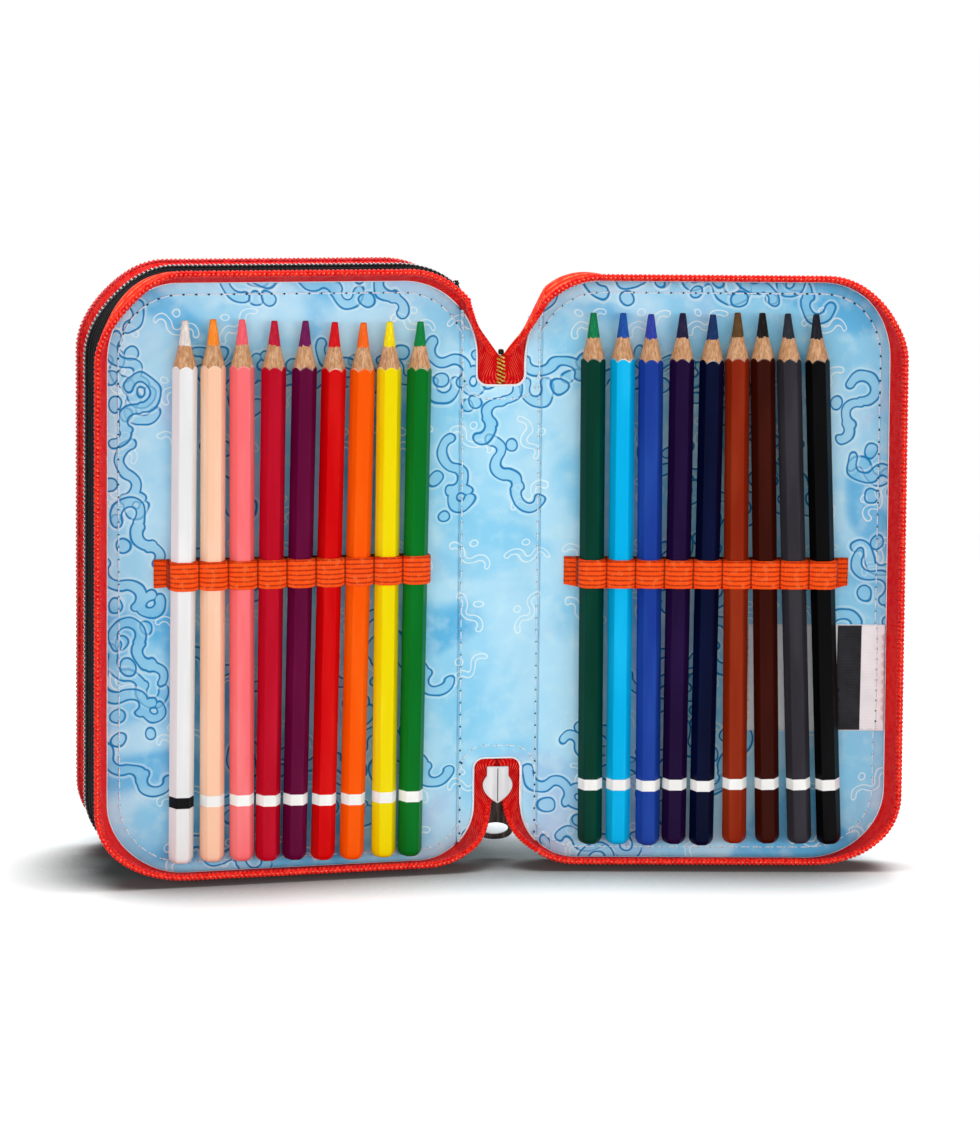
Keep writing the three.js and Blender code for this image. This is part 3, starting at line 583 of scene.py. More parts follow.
RIPPLE = [
    (-4.4, -1.1, 2.4, 90, 66), (0.0, 0.9, 2.4, -90, 66), (4.4, -1.1, 2.4, 90, 66),
    (-1.0, 4.2, 0.3, 0, 180),
]
GUSTS = [  # the grid's cell, its shift, the most that a gust is turned, and the gust's strokes
    (31 * MM, (0.0, 0.36, 0), 1.2, [
        (-7.6, -1.6, 3.0, 90, 60), (-2.4, 1.4, 3.0, -90, 60), (2.8, -1.6, 3.0, 90, 60),
        (8.2, 2.0, 3.3, -60, 110), (-6.4, 4.6, 0.5, 0, 180)]),
    (35 * MM, (0.55, 0.85, 0), 1.5, [
        (-6.0, 2.0, 4.0, -100, 70), (0.6, -1.4, 3.4, 70, 80), (6.4, 0.8, 2.4, -80, 150),
        (-0.6, -5.4, 0.7, 0, 180), (9.6, -5.0, 0.3, 0, 180)]),
    (39 * MM, (0.2, 0.6, 0), 2.2, [
        (-4.0, 0.2, 3.6, 150, 125), (3.0, 2.4, 3.2, -90, 75), (8.6, -1.0, 3.0, 90, 65),
        (2.4, -4.6, 0.6, 0, 180)]),
]
GUST_SCALE, GUST_STROKE, RIPPLE_STROKE = 0.83, 1.35, 0.85


def printed_polyester(name):
    # Smooth taffeta: nearly matt, with a weave that shows only close up
    material, tree, shader = finish(name, Roughness=0.7, Specular_IOR_Level=0.25)
    uv, u, v = own_uv(tree)
    wash, pool = cloudy(tree, uv, 26.0, 3.5, 0.5), cloudy(tree, uv, 15.0, 2.0, 0.9)
    grain = cloudy(tree, uv, 170.0, 3.0)
    stray = vectors(tree, "SUBTRACT", cloudy(tree, uv, 90.0, 1.0, output="Color"), (0.5, 0.5, 0.5))
    bent = vectors(tree, "MULTIPLY_ADD", stray, (0.004, 0.004, 0), uv)
    colour = blend(tree, ramp(tree, wash, 0.42, 0.57), "#B3E4FB", "#8DD4F5")
    colour = blend(tree, ramp(tree, pool, 0.55, 0.61, 0.0, 0.75), colour, "#49B2E7")
    colour = blend(tree, ramp(tree, pool, 0.44, 0.34, 0.0, 0.7), colour, "#ADC8EB")
    colour = blend(tree, ramp(tree, grain, 0.45, 0.75, 0.0, 0.35), colour, "#D3F2FC")
    # Faint ripples and bold gusts of wind with drops: abstract waves, scattered and turned at random
    place, luck = scattered(tree, bent, 19 * MM, (0.31, 0.17, 0), 1.2)
    there = ramp(tree, luck.outputs[1], 0.35, 0.4, 0.0, 0.75)
    faint = calc(tree, "MULTIPLY", line_at(tree, arcs(tree, place, RIPPLE, RIPPLE_STROKE), 0.0, 0.2), there)
    colour = blend(tree, faint, colour, "#F1FCFC")
    for cell, shift, tilt, parts in GUSTS:
        place, luck = scattered(tree, bent, cell, shift, tilt)
        gust = arcs(tree, vectors(tree, "SCALE", place, Scale=GUST_SCALE), parts, GUST_STROKE)
        there = ramp(tree, luck.outputs[0], 0.45, 0.47)
        for shape, tone in (
            (calc(tree, "MULTIPLY", line_at(tree, gust, 0.6, 0.3, 0.2), 0.45), "#D5F3FC"),
            (ramp(tree, gust, -0.1, 0.1, 0.55, 0.0), "#8FD2F2"),
            (line_at(tree, gust, 0.0, 0.25), "#0B80BF"),
        ):
            colour = blend(tree, calc(tree, "MULTIPLY", shape, there), colour, tone)
    # Real threads are 0.2 mm apart, too fine for the picture, so the weave is drawn at 0.5 mm
    surface(tree, shader, colour, calc(tree, "ADD", weave(tree, u, v, 0.5 * MM), grain), 0.2, 0.1 * MM)
    return material


LINING = printed_polyester("printed_polyester_taffeta")
print("made", LINING.name, "with", len(LINING.node_tree.nodes), "nodes")

# %% [markdown]
# ## Zip, elastic and cover fabrics
# Zip tape is a dense polyester twill: its fine slanting ribs catch the light, and the side away from the coil
# shows lines along its length. The coil is extruded nylon, so it is smooth and a little glossy. Elastic is
# ribbed across by its rubber cores. The covers are a coarse plain weave.

# %% Tape, coil and thread
def twill(name, dark, middle, crown_highlight, slanting=True):
    # Woven polyester tape: ribs 0.8 mm apart, and 1.2 mm outside. Their crowns carry a painted highlight and
    # the grooves between them painted shade
    material, tree, shader = finish(name, Roughness=0.6, Specular_IOR_Level=0.1)
    uv, along, across = own_uv(tree)
    ribs = waves(tree, along, across, math.radians(48 if slanting else 90), (0.8 if slanting else 1.2) * MM)
    threads = waves(tree, along, across, 0, 0.8 * MM)
    # Painted highlight: the ribs' crowns are lightened in patches, and below the grooves are darkened as
    # painted shade
    lit = calc(tree, "MULTIPLY", ribs, ramp(tree, cloudy(tree, uv, 420.0), 0.3, 0.62, 0.35, 1.0))
    colour = blend(tree, ramp(tree, ribs, 0.0, 0.45, 0.35, 1.0), dark, middle)
    colour = blend(tree, ramp(tree, lit, 0.4, 0.95, 0.0, 0.8), colour, crown_highlight)
    surface(tree, shader, colour, calc(tree, "MULTIPLY_ADD", threads, 0.35, ribs), 0.55, 0.22 * MM)
    return material


def nylon(name, base, lit):
    # Drawn nylon monofilament: smooth, slightly translucent, soft highlight
    sockets = dict(Roughness=0.34, Specular_IOR_Level=0.2, Subsurface_Weight=0.05, Subsurface_Scale=0.3 * MM)
    material, tree, shader = finish(name, **sockets)
    shade = cloudy(tree, inner_place(tree), 900.0, 1.0)
    colour = blend(tree, ramp(tree, shade, 0.35, 0.65), base, lit)
    surface(tree, shader, colour, shade, 0.15, 0.05 * MM)
    return material


def spun(name, base, lit):
    # Spun polyester sewing thread: matt, with its twist as fine slanting bands
    material, tree, shader = finish(name, Roughness=0.7, Sheen_Weight=0.2)
    links = {"Vector": inner_place(tree), "Scale": 700.0, "Distortion": 2.0}
    twist = add(tree, "ShaderNodeTexWave", links, bands_direction="DIAGONAL").outputs["Fac"]
    surface(tree, shader, blend(tree, twist, base, lit), twist, 0.4, 0.06 * MM)
    return material


def dark_hole(name):
    # A needle hole shows the shaded inside of the cloth
    material, tree, shader = finish(name, Roughness=0.9)
    shade = add(tree, "ShaderNodeTexNoise", {"Scale": 300.0}).outputs[0]
    tree.links.new(blend(tree, shade, "#0F2B3C", "#234F68"), shader.inputs["Base Color"])
    return material


RED_INNER = twill("red_twill_tape_inner_face", "#C80009", "#F8080E", "#FF4A38")
# A darker copy of the red tape: painted shade, for the rear zip's outer faces and the open zip's ends
RED_SHADED = twill("deep_red_twill_tape", "#A00008", "#D60C12", "#F8503E")
RED_OUTER = twill("red_twill_tape_outer_face", "#DB2117", "#F63C26", "#FF8660", slanting=False)
BLACK_INNER = twill("black_twill_tape_inner_face", "#020203", "#08080A", "#1A1A1E")
BLACK_OUTER = twill("black_twill_tape_outer_face", "#030304", "#0A0A0C", "#1F1F24", slanting=False)
RED_COIL = nylon("red_nylon_coil", "#DC0E14", "#F8341F")
# A darker copy of the red coil: painted shade, for the rear zip
SHADED_RED_COIL = nylon("deep_red_coil_nylon", "#A80A12", "#D4202A")
BLACK_COIL = nylon("black_nylon_coil", "#030304", "#0F0F12")
GOLD_COIL = nylon("golden_nylon_coil", "#B8842A", "#F2CF63")
RED_THREAD = spun("red_sewing_thread", "#F0503C", "#FF9478")
WHITE_THREAD = spun("white_sewing_thread", "#C9CED2", "#F1F3F4")
SKY_THREAD = spun("pale_blue_sewing_thread", "#C4DFEF", "#F7FCFF")
BINDING = spun("pale_binding_cord", "#DCE6EE", "#F8FBFD")
NEEDLE_HOLE = dark_hole("shadowed_needle_hole")
print("tape, coil and thread finishes made")


# %% Elastic, cover, label and metal
def ribbed_elastic(name):
    # Woven elastic: rubber cores across it give ribs, and the grooves between them are painted darker, as
    # painted shade
    material, tree, shader = finish(name, Roughness=0.62, Specular_IOR_Level=0.22)
    uv, along, across = own_uv(tree)
    ribs = waves(tree, along, across, 0, 0.85 * MM)
    bands = waves(tree, along, across, math.pi / 2, BAND_HEIGHT / 6)
    soft = cloudy(tree, uv, 500.0)
    colour = blend(tree, ramp(tree, bands, 0.05, 0.4), "#B52C06", "#FF560E")
    colour = blend(tree, ramp(tree, ribs, 0.4, 0.0, 0.0, 0.35), colour, "#D9430D")
    colour = blend(tree, ramp(tree, soft, 0.5, 0.75, 0.0, 0.4), colour, "#FF8244")
    # Painted shade: a dark crease at each seam between the loops
    painted_crease_shade = ramp(tree, calc(tree, "PINGPONG", along, PITCH / 2), 0.1 * MM, 0.42 * MM, 0.85, 0.0)
    colour = blend(tree, painted_crease_shade, colour, "#7A1E06")
    surface(tree, shader, colour, calc(tree, "MULTIPLY_ADD", bands, 0.5, ribs), 0.6, 0.2 * MM)
    return material


def pack_cloth(name, base, lit):
    # Coated 600-denier polyester: a coarse plain weave with a dull sheen and slight fading on its crowns
    material, tree, shader = finish(name, Roughness=0.68, Specular_IOR_Level=0.25, Sheen_Weight=0.05)
    uv, u, v = own_uv(tree)
    # Real threads are 0.5 mm apart, drawn at 0.8 mm so that they show
    threads = weave(tree, u, v, 0.8 * MM)
    colour = blend(tree, threads, base, lit)
    worn = ramp(tree, cloudy(tree, uv, 45.0, 5.0), 0.45, 0.85, 0.0, 0.14)
    surface(tree, shader, blend(tree, worn, colour, "#6C93C4"), threads, 0.6, 0.25 * MM)
    return material


def satin(name, base, lit):
    # Woven satin label: close parallel floats give a soft streak of gloss along the yarn
    material, tree, shader = finish(name, Roughness=0.45, Anisotropic=0.4, Specular_IOR_Level=0.3)
    uv, u, v = own_uv(tree)
    floats = waves(tree, u, v, math.pi / 2, 0.5 * MM)
    streaks = calc(tree, "MULTIPLY_ADD", floats, 0.3, cloudy(tree, uv, 120.0, 3.0))
    colour = blend(tree, ramp(tree, streaks, 0.3, 0.9), base, lit)
    surface(tree, shader, colour, floats, 0.3, 0.08 * MM)
    return material


def metal(name, base, lit, roughness, metallic, grit):
    # Die-cast zinc: tumbled smooth, then plated or painted, with fine scratches from use
    material, tree, shader = finish(name, Metallic=metallic)
    scratch = cloudy(tree, inner_place(tree, 0.12, (0.3, 0.2, 0)), grit, 4.0)
    dull = ramp(tree, scratch, 0.3, 0.7, roughness - 0.08, roughness + 0.1)
    tree.links.new(dull, shader.inputs["Roughness"])
    colour = blend(tree, ramp(tree, scratch, 0.35, 0.7), base, lit)
    surface(tree, shader, colour, scratch, 0.06, 0.05 * MM)
    return material


ELASTIC = ribbed_elastic("orange_ribbed_elastic")
COVER_CLOTH = pack_cloth("blue_woven_cover_polyester", "#1F4C93", "#3B72BC")
LABEL_CLOTH = satin("white_satin_label", "#E9ECF0", "#FAFBFC")
PATCH_CLOTH = satin("black_satin_patch", "#101114", "#2E3036")
SLIDER_METAL = metal("light_grey_painted_zinc", "#D8D8DA", "#ECECED", 0.45, 0.05, 500.0)
PULL_METAL = metal("gunmetal_plated_zinc", "#3A3331", "#6A5F5B", 0.36, 0.85, 1100.0)
STOP_METAL = metal("blackened_brass", "#17130F", "#3E3324", 0.4, 0.7, 1200.0)
print("fabric and metal finishes made")

# %% [markdown]
# ## Camera, light and floor
# The photograph looks slightly down on the case and a little from its left. The camera stands where a fit to
# the linings' corners puts it. The floor is white to the camera and keeps the soft shadow, and a lamp
# overhead, a wide one in front and a strip at each side give the even light of a studio tent.

# %% Camera
AZIMUTH, ELEVATION, ROLL = math.radians(-13.07), math.radians(9.79), math.radians(0.53)
right = Vector((math.cos(AZIMUTH), math.sin(AZIMUTH), 0))
level_out = math.cos(ELEVATION)
toward = Vector((math.sin(AZIMUTH) * level_out, -math.cos(AZIMUTH) * level_out, math.sin(ELEVATION)))
up = toward.cross(right)
spot = Vector((0, 0, 95)) + toward * 1006 - right * 2.79 + up * 2.55
FIT_SCALE = 1.00575
across = right * math.cos(ROLL) + up * math.sin(ROLL)
upright = up * math.cos(ROLL) - right * math.sin(ROLL)
turn = Matrix((across, upright, toward)).transposed().to_4x4()
centre = Vector((FOLD_LINE.x + SPINE_WIDTH / 2, FOLD_LINE.y, 0))
lens = bpy.data.cameras.new("studio_camera")
lens.lens, lens.sensor_width, lens.sensor_fit = 113.9, 36, "HORIZONTAL"
camera = in_scene("studio_camera", lens)
camera.matrix_world = Matrix.Translation(centre + spot * FIT_SCALE * MM) @ turn
bpy.context.scene.camera = camera
print("camera at", [round(c, 3) for c in camera.matrix_world.translation])


# %% Lamps, world and floor
def lamp(name, place, aim, size, power):
    light = bpy.data.lights.new(name, "AREA")
    light.shape, light.size, light.size_y, light.energy = "RECTANGLE", size[0], size[1], power
    made = in_scene(name, light)
    made.location = place
    made.rotation_euler = (Vector(aim) - Vector(place)).to_track_quat("-Z", "Y").to_euler()
    made.visible_glossy = False


lamp("overhead_softbox", (0.0, 0.12, 1.15), (0, 0, 0.0), (0.9, 0.6), 14.0)
lamp("front_softbox", (-0.1, -1.8, 0.4), (0, 0, 0.1), (3.6, 0.5), 26.5)
lamp("left_strip", (-1.5, -0.7, 0.35), (0, 0, 0.1), (0.5, 0.8), 5.5)
lamp("right_strip", (1.5, -0.7, 0.35), (0, 0, 0.1), (0.5, 0.8), 6.5)


def seen_only(tree):
    """Shares of the camera's rays, and of mirrored and transmitted ones, which show the surroundings."""
    path = add(tree, "ShaderNodeLightPath")
    mirrored = calc(tree, "MAXIMUM", path.outputs["Is Glossy Ray"], path.outputs["Is Transmission Ray"])
    return path.outputs["Is Camera Ray"], mirrored


world = bpy.data.worlds.new("white_surroundings")
bpy.context.scene.world = world
world.use_nodes = True
sky_tree = world.node_tree
seen, mirrored = seen_only(sky_tree)
# The studio is white behind and above the case, and dim on the camera's side
way = add(sky_tree, "ShaderNodeSeparateXYZ", {0: add(sky_tree, "ShaderNodeTexCoord").outputs["Generated"]})
behind_case = ramp(sky_tree, calc(sky_tree, "ADD", way.outputs[1], way.outputs[2]), -0.7, 0.3, 0.1, 1.0)
AMBIENT = 0.19
lighting = calc(sky_tree, "MULTIPLY", calc(sky_tree, "SUBTRACT", 1.0, mirrored), AMBIENT)
strength = calc(sky_tree, "ADD", calc(sky_tree, "MULTIPLY", mirrored, behind_case), lighting)
strength = calc(sky_tree, "MAXIMUM", strength, seen)
sky_tree.links.new(strength, sky_tree.nodes["Background"].inputs["Strength"])
sky_tree.nodes["Background"].inputs["Color"].default_value = (1, 1, 1, 1)

PAPER = 1.24
floor_paper, paper_tree, paper_shader = finish("white_studio_paper", Roughness=1.0)
paper_shader.inputs["Specular IOR Level"].default_value = 0.0
seen, mirrored = seen_only(paper_tree)
place = add(paper_tree, "ShaderNodeTexCoord").outputs["Object"]
rear = ramp(paper_tree, add(paper_tree, "ShaderNodeSeparateXYZ", {0: place}).outputs[1], -0.3, 0.2)
looks = calc(paper_tree, "MAXIMUM", seen, calc(paper_tree, "MULTIPLY", mirrored, rear))
# Next to the case the paper's colour is darkened by ambient occlusion, a painted contact shadow
painted_shadow_occlusion = add(paper_tree, "ShaderNodeAmbientOcclusion", {"Distance": 0.066}).outputs["AO"]
shade = ramp(paper_tree, painted_shadow_occlusion, 0.44, 0.9, 0.17 * PAPER, PAPER)
# The painted shadow is a little deeper in red: a faint cyan cast that evens out the red that the case
# reflects on to it
painted_shadow_red = ramp(paper_tree, painted_shadow_occlusion, 0.44, 0.93, 0.14 * PAPER, PAPER)
grey = add(paper_tree, "ShaderNodeCombineColor", {0: painted_shadow_red, 1: shade, 2: shade}).outputs[0]
pale = add(paper_tree, "ShaderNodeMix", {0: looks, 6: (0.5, 0.5, 0.5, 1), 7: grey}, data_type="RGBA")
paper_tree.links.new(pale.outputs[2], paper_shader.inputs["Base Color"])
# Far from the case the paper is as white as the surroundings
far = ramp(paper_tree, vectors(paper_tree, "LENGTH", place, output="Value"), 0.3, 0.75)
white = add(paper_tree, "ShaderNodeEmission", {"Color": (1, 1, 1, 1), "Strength": 1.0}).outputs[0]
share = calc(paper_tree, "MULTIPLY", far, looks)
both = add(paper_tree, "ShaderNodeMixShader", {0: share, 1: paper_shader.outputs[0], 2: white})
paper_tree.links.new(both.outputs[0], paper_tree.nodes["Material Output"].inputs["Surface"])
FLOOR_HALF = 6
corners = [(x * FLOOR_HALF, y * FLOOR_HALF, 0) for x, y in ((-1, -1), (1, -1), (1, 1), (-1, 1))]
floor = piece("studio_floor", corners, [(0, 1, 2, 3)], [floor_paper], closed=False)
bpy.context.scene.view_settings.view_transform = "Standard"
print("lamps, world and floor made")

# %% [markdown]
# ## Linings
# Each tray's lining is one sheet of printed polyester over a board, pulled tight by its seam, so it is nearly
# flat, dips to its edge and ripples a little. A grid of triangles inside its outline gives that room to move.
# The spine's lining is a strip with a notch at each end, and all three are one piece of cloth on a real case.

# %% Lining sheets
def ripple(places, seed, size, height):
    return np.array([noise.noise(Vector((p[0] / size, p[1] / size, seed))) for p in places]) * height


def lining_front(seed):
    def face(places, away):
        dip = 0.32 * MM * np.clip(1 - away / (2.4 * MM), 0, 1) ** 2
        return -0.1 * MM + ripple(places, seed, 16 * MM, 0.2 * MM) * np.clip(away / (6 * MM), 0, 1) - dip
    return face


def level(depth):
    return lambda places, away: np.full(len(places), depth)


TRAY_AREA, SPINE_AREA = 0.0208, 0.00375  # square metres of cloth
MEETING, LINING_BACK = 0.04 * MM, -0.5 * MM
SPREAD = {  # where a tray's print starts on the one printed cloth
    "left": lambda p: p * [-1, 1],
    "spine": lambda p: p,
    "right": lambda p: p + [SPINE_WIDTH, 0],
}
TRAY_LINING, SPINE_LINING = tray_outline(0.0, MEETING), spine_outline(SPINE_WIDTH, MEETING)
linings = [  # name, side, body, board behind it, outline, width, area, seed of its ripples
    ("left", LEFT, "stack", "front_divider", TRAY_LINING, LINING_WIDTH, TRAY_AREA, 4),
    ("right", RIGHT, "front_cover", "front_cover", TRAY_LINING, LINING_WIDTH, TRAY_AREA, 5),
    ("spine", SPINE, "front_spine", "front_spine", SPINE_LINING, SPINE_WIDTH, SPINE_AREA, 3),
]
for name, side, body, board, outline, width, area, seed in linings:
    front, back = lining_front(seed), level(LINING_BACK)
    cloth = panel(name + "_lining_cloth", side, outline, front, back, LINING, SPREAD[name])
    seat(cloth, body, "sky_lining", name + "_lining")
    print(cloth.name, len(cloth.data.polygons), "faces")

# A strip of lining runs on behind each front fold, with cover cloth on its outside, so that no light comes
# through the seam
STRIP, STRIP_FRONT, STRIP_BACK = 4.7 * MM, -0.56 * MM, -0.7 * MM
reaches = (STRIP, STRIP / 2, 0.3 * MM)
strip_folds = {"left": (LEFT, 0.0, 1, "stack"), "right": (RIGHT, SPINE_WIDTH, -1, "front_cover")}
for name, (tray, fold_u, way, body) in strip_folds.items():
    w = np.linspace(foot_of(True) + 2 * MM, LINING_HEIGHT - foot_of(False) - 2 * MM, 30)
    section = [(tray, reach) for reach in reaches]
    section += [(SPINE, fold_u + way * reach) for reach in reaches[::-1]]
    columns = [side.at(u, STRIP_FRONT, w) for side, u in section]
    columns += [side.at(u, STRIP_BACK, w) for side, u in section[::-1]]
    count = len(columns)
    faces = grid_faces(len(w), count, ring=True) + end_faces(len(w), count)
    outside = [int(len(section) <= c < count - 1) for _ in w[1:] for c in range(count)] + [0, 0]
    run = np.linspace(-STRIP, STRIP, len(section))
    uv = [(u, height) for height in w for u in (*run, *run[::-1])]
    points = np.stack(columns, axis=1)
    strip = piece(name + "_fold_strip", points, faces, [LINING, COVER_CLOTH], marks=outside, uv=uv)
    bend_at_fold(strip, body, "front_spine", tray.origin, way * SPINE.along, "sky_lining", reach=4 * MM)

# %% [markdown]
# ## Covers, dividers and spines
# Under the linings lie foam boards covered in cloth: two covers outside and two dividers between the
# compartments. They have rounded rims and a slight crown. The spines are thinner, and thin out to their seams
# so that they fold. A corded edge and a row of stitches finish each cover.

# %% Boards
def padding(face, thick, rim):
    """A board's outer face: its depth, with a rounded rim and a slightly soft middle."""
    def depth(places, away):
        return face - thick + rounded(away, rim) - ripple(places, thick * 900, 30 * MM, 0.12 * MM)
    return depth


def inner_face(face):
    """A board's inner face, with its rim just broken."""
    return lambda places, away: face - rounded(away, 0.3 * MM)


BOARD, BOARD_INSETS = tray_outline(-0.3 * MM), (0.15, 0.4, 0.8, 1.3, 2.4)
boards = [  # name, body, side, inner face, thickness, cloth, slot
    ("front_cover", "front_cover", RIGHT, -PANEL_FACE, COVER, COVER_CLOTH, "cover_fabric"),
    ("front_divider", "stack", LEFT, -PANEL_FACE, DIVIDER, LINING, "sky_lining"),
    ("rear_divider", "rear_leaf", LEFT, -LEAF_FRONT, DIVIDER + PANEL_FACE, LINING, "sky_lining"),
    ("back_cover", "back_cover", LEFT, -COVER_FRONT, COVER, COVER_CLOTH, "cover_fabric"),
]
for name, body, side, face, thick, cloth, slot in boards:
    outer = padding(face, thick, min(1.2 * MM, thick / 2.4))
    inner = inner_face(face)
    board = panel(name + "_padding", side, BOARD, inner, outer, cloth, insets=BOARD_INSETS, spacing=5)
    seat(board, body, slot, name)


def spine_back(width, face):
    def depth(places, away):
        seam = np.minimum(places[:, 0], width - places[:, 0]) - SEWN_GAP
        thick = np.clip(0.5 * MM + seam / 2, 0.5 * MM, SPINE_THICK)
        return face - np.minimum(thick, SPINE_THICK - rounded(away, 0.7 * MM))
    return depth


SPINE_INSETS = (0.3, 0.8, 1.6, 2.8)
spines = {  # side, width and inner face
    "front": (SPINE, SPINE_WIDTH, -PANEL_FACE),
    "middle": (MIDDLE_SPINE, CLOSED_SPINE, 0.0),
    "rear": (REAR_SPINE, CLOSED_SPINE, 0.0),
}
for name, (side, width, face) in spines.items():
    outline, inner, outer = spine_outline(width, SEWN_GAP), level(face), spine_back(width, face)
    strip = panel(name + "_spine_padding", side, outline, inner, outer, COVER_CLOTH, insets=SPINE_INSETS)
    seat(strip, name + "_spine", "cover_fabric", name + "_spine")
print("boards and spines made")

# %% [markdown]
# ## Geometry Nodes that lay a coil and a seam
# A zip's teeth are one nylon wire wound into a flattened spiral. Its shape follows a rule, so Geometry Nodes
# wind it: they resample a path, and push each point out along two directions that the path carries. A second
# tree sets small pieces at even distances along a path, for stitches, needle holes and the thread on a coil.

# %% Node trees
def node_tree(name, **inputs):
    """An empty geometry tree with named inputs. Returns it with its input and output nodes."""
    tree = bpy.data.node_groups.new(name, "GeometryNodeTree")
    tree.interface.new_socket("Path", in_out="INPUT", socket_type="NodeSocketGeometry")
    for key, kind in inputs.items():
        tree.interface.new_socket(key.replace("_", " "), in_out="INPUT", socket_type="NodeSocket" + kind)
    tree.interface.new_socket("Made", in_out="OUTPUT", socket_type="NodeSocketGeometry")
    return tree, add(tree, "NodeGroupInput").outputs, add(tree, "NodeGroupOutput")


def close_tree(tree, shape, material, output):
    real = add(tree, "GeometryNodeRealizeInstances", {"Geometry": shape}).outputs[0]
    painted = add(tree, "GeometryNodeSetMaterial", {"Geometry": real, "Material": material})
    tree.links.new(painted.outputs[0], output.inputs[0])
    return tree


def carried(tree, key):
    """A direction that the path's points carry."""
    links = {"Name": key}
    return add(tree, "GeometryNodeInputNamedAttribute", links, data_type="FLOAT_VECTOR").outputs[0]


def coil_tree():
    floats = dict.fromkeys(("Pitch", "Half_Width", "Half_Height", "Wire", "Dip", "Start"), "Float")
    tree, given, output = node_tree("wound_coil", **floats, Material="Material")
    curve = add(tree, "GeometryNodeMeshToCurve", {0: given["Path"]}).outputs[0]
    step = calc(tree, "DIVIDE", given["Pitch"], 12.0)
    fine = add(tree, "GeometryNodeResampleCurve", {"Curve": curve, "Length": step}, mode="LENGTH").outputs[0]
    run = add(tree, "GeometryNodeSplineParameter").outputs["Length"]
    turns = calc(tree, "ADD", calc(tree, "DIVIDE", run, given["Pitch"]), given["Start"])
    angle = calc(tree, "MULTIPLY", turns, 2 * math.pi)
    sine, cosine = calc(tree, "SINE", angle), calc(tree, "COSINE", angle)
    across = calc(tree, "MULTIPLY", cosine, given["Half Width"])
    middle = calc(tree, "POWER", calc(tree, "SUBTRACT", 1.0, calc(tree, "ABSOLUTE", cosine)), 2.0)
    dipped = calc(tree, "SUBTRACT", given["Half Height"], calc(tree, "MULTIPLY", middle, given["Dip"]))
    along = calc(tree, "MULTIPLY", sine, dipped)
    parts = []
    for key, amount in (("out", across), ("front", along)):
        parts.append(vectors(tree, "SCALE", carried(tree, key), Scale=amount))
    offset = vectors(tree, "ADD", *parts)
    placed = add(tree, "GeometryNodeSetPosition", {"Geometry": fine, "Offset": offset}).outputs[0]
    links = {"Resolution": 6, "Radius": given["Wire"]}
    ring = add(tree, "GeometryNodeCurvePrimitiveCircle", links).outputs[0]
    links = {"Curve": placed, "Profile Curve": ring, "Fill Caps": True}
    wire = add(tree, "GeometryNodeCurveToMesh", links).outputs[0]
    return close_tree(tree, wire, given["Material"], output)


def row_tree():
    tree, given, output = node_tree("pieces_in_a_row", Spacing="Float", Piece="Object", Material="Material")
    curve = add(tree, "GeometryNodeMeshToCurve", {0: given["Path"]}).outputs[0]
    links = {"Curve": curve, "Length": given["Spacing"]}
    places = add(tree, "GeometryNodeResampleCurve", links, mode="LENGTH").outputs[0]
    tangent = add(tree, "GeometryNodeInputTangent").outputs[0]
    links = {"Vector": carried(tree, "front")}
    lying = add(tree, "FunctionNodeAlignRotationToVector", links, axis="Z").outputs[0]
    links = {"Rotation": lying, "Vector": tangent}
    turned = add(tree, "FunctionNodeAlignRotationToVector", links, axis="X", pivot_axis="Z").outputs[0]
    shape = add(tree, "GeometryNodeObjectInfo", {"Object": given["Piece"]}).outputs["Geometry"]
    links = {"Points": places, "Instance": shape, "Rotation": turned}
    row = add(tree, "GeometryNodeInstanceOnPoints", links).outputs[0]
    return close_tree(tree, row, given["Material"], output)


COIL_TREE, ROW_TREE = coil_tree(), row_tree()


def follow(name, points, out, front, tree, material, **values):
    """Runs a tree along a path whose points carry the directions out and front. Returns a plain mesh."""
    points = np.asarray(points, float)
    mesh = bpy.data.meshes.new(name)
    mesh.from_pydata([tuple(p) for p in points], [(i, i + 1) for i in range(len(points) - 1)], [])
    for key, ways in (("out", out), ("front", front)):
        ways = np.broadcast_to(np.asarray(ways, float), points.shape)
        mesh.attributes.new(key, "FLOAT_VECTOR", "POINT").data.foreach_set("vector", ways.ravel())
    made = in_scene(name, mesh)
    modifier = made.modifiers.new(tree.name, "NODES")
    modifier.node_group = tree
    values["Material"] = material
    for socket in tree.interface.items_tree:
        key = socket.name.replace(" ", "_")
        if socket.in_out == "INPUT" and key in values:
            modifier[socket.identifier] = values[key]
    finished(made)
    for key in ("out", "front"):
        if key in made.data.attributes:
            made.data.attributes.remove(made.data.attributes[key])
    return made


print("node trees:", COIL_TREE.name, ROW_TREE.name)


# %% The small pieces that rows repeat
def bead(name, length, radius, flat=1.0, sides=6):
    """A capsule along x, a few dozen faces, for a stitch or a needle hole."""
    half, shoulder = length / 2, length / 2 - radius * 0.6
    end = [(half, 0.35), (shoulder, 0.9), (half * 0.3, 1.0)]
    rings = [(-x, fit) for x, fit in end] + end[::-1]
    turns = np.linspace(0, 2 * math.pi, sides, endpoint=False)
    points = []
    for x, fit in rings:
        points += [(x, radius * fit * math.cos(t), flat * radius * fit * math.sin(t)) for t in turns]
    faces = grid_faces(len(rings), sides, ring=True) + end_faces(len(rings), sides)
    made = piece(name, points, faces, [])
    made.hide_render = True
    return made


STITCH = bead("one_stitch", 3.0 * MM, 0.22 * MM)
HOLE = bead("one_needle_hole", 0.75 * MM, 0.3 * MM, flat=0.35)
KNOT = bead("one_coil_stitch", 0.62 * MM, 0.22 * MM)
print("small pieces made")

# %% [markdown]
# ## Zip tapes and coils
# The open zip stands round each tray as a wall: tape sewn to the tray's rim, leaning outwards, with its coil
# along the free edge. Two closed zips run behind it, each made of two such walls whose coils meet. The tape
# is one closed skin that follows the bulging wall, thicker where a woven ridge guides the slider.

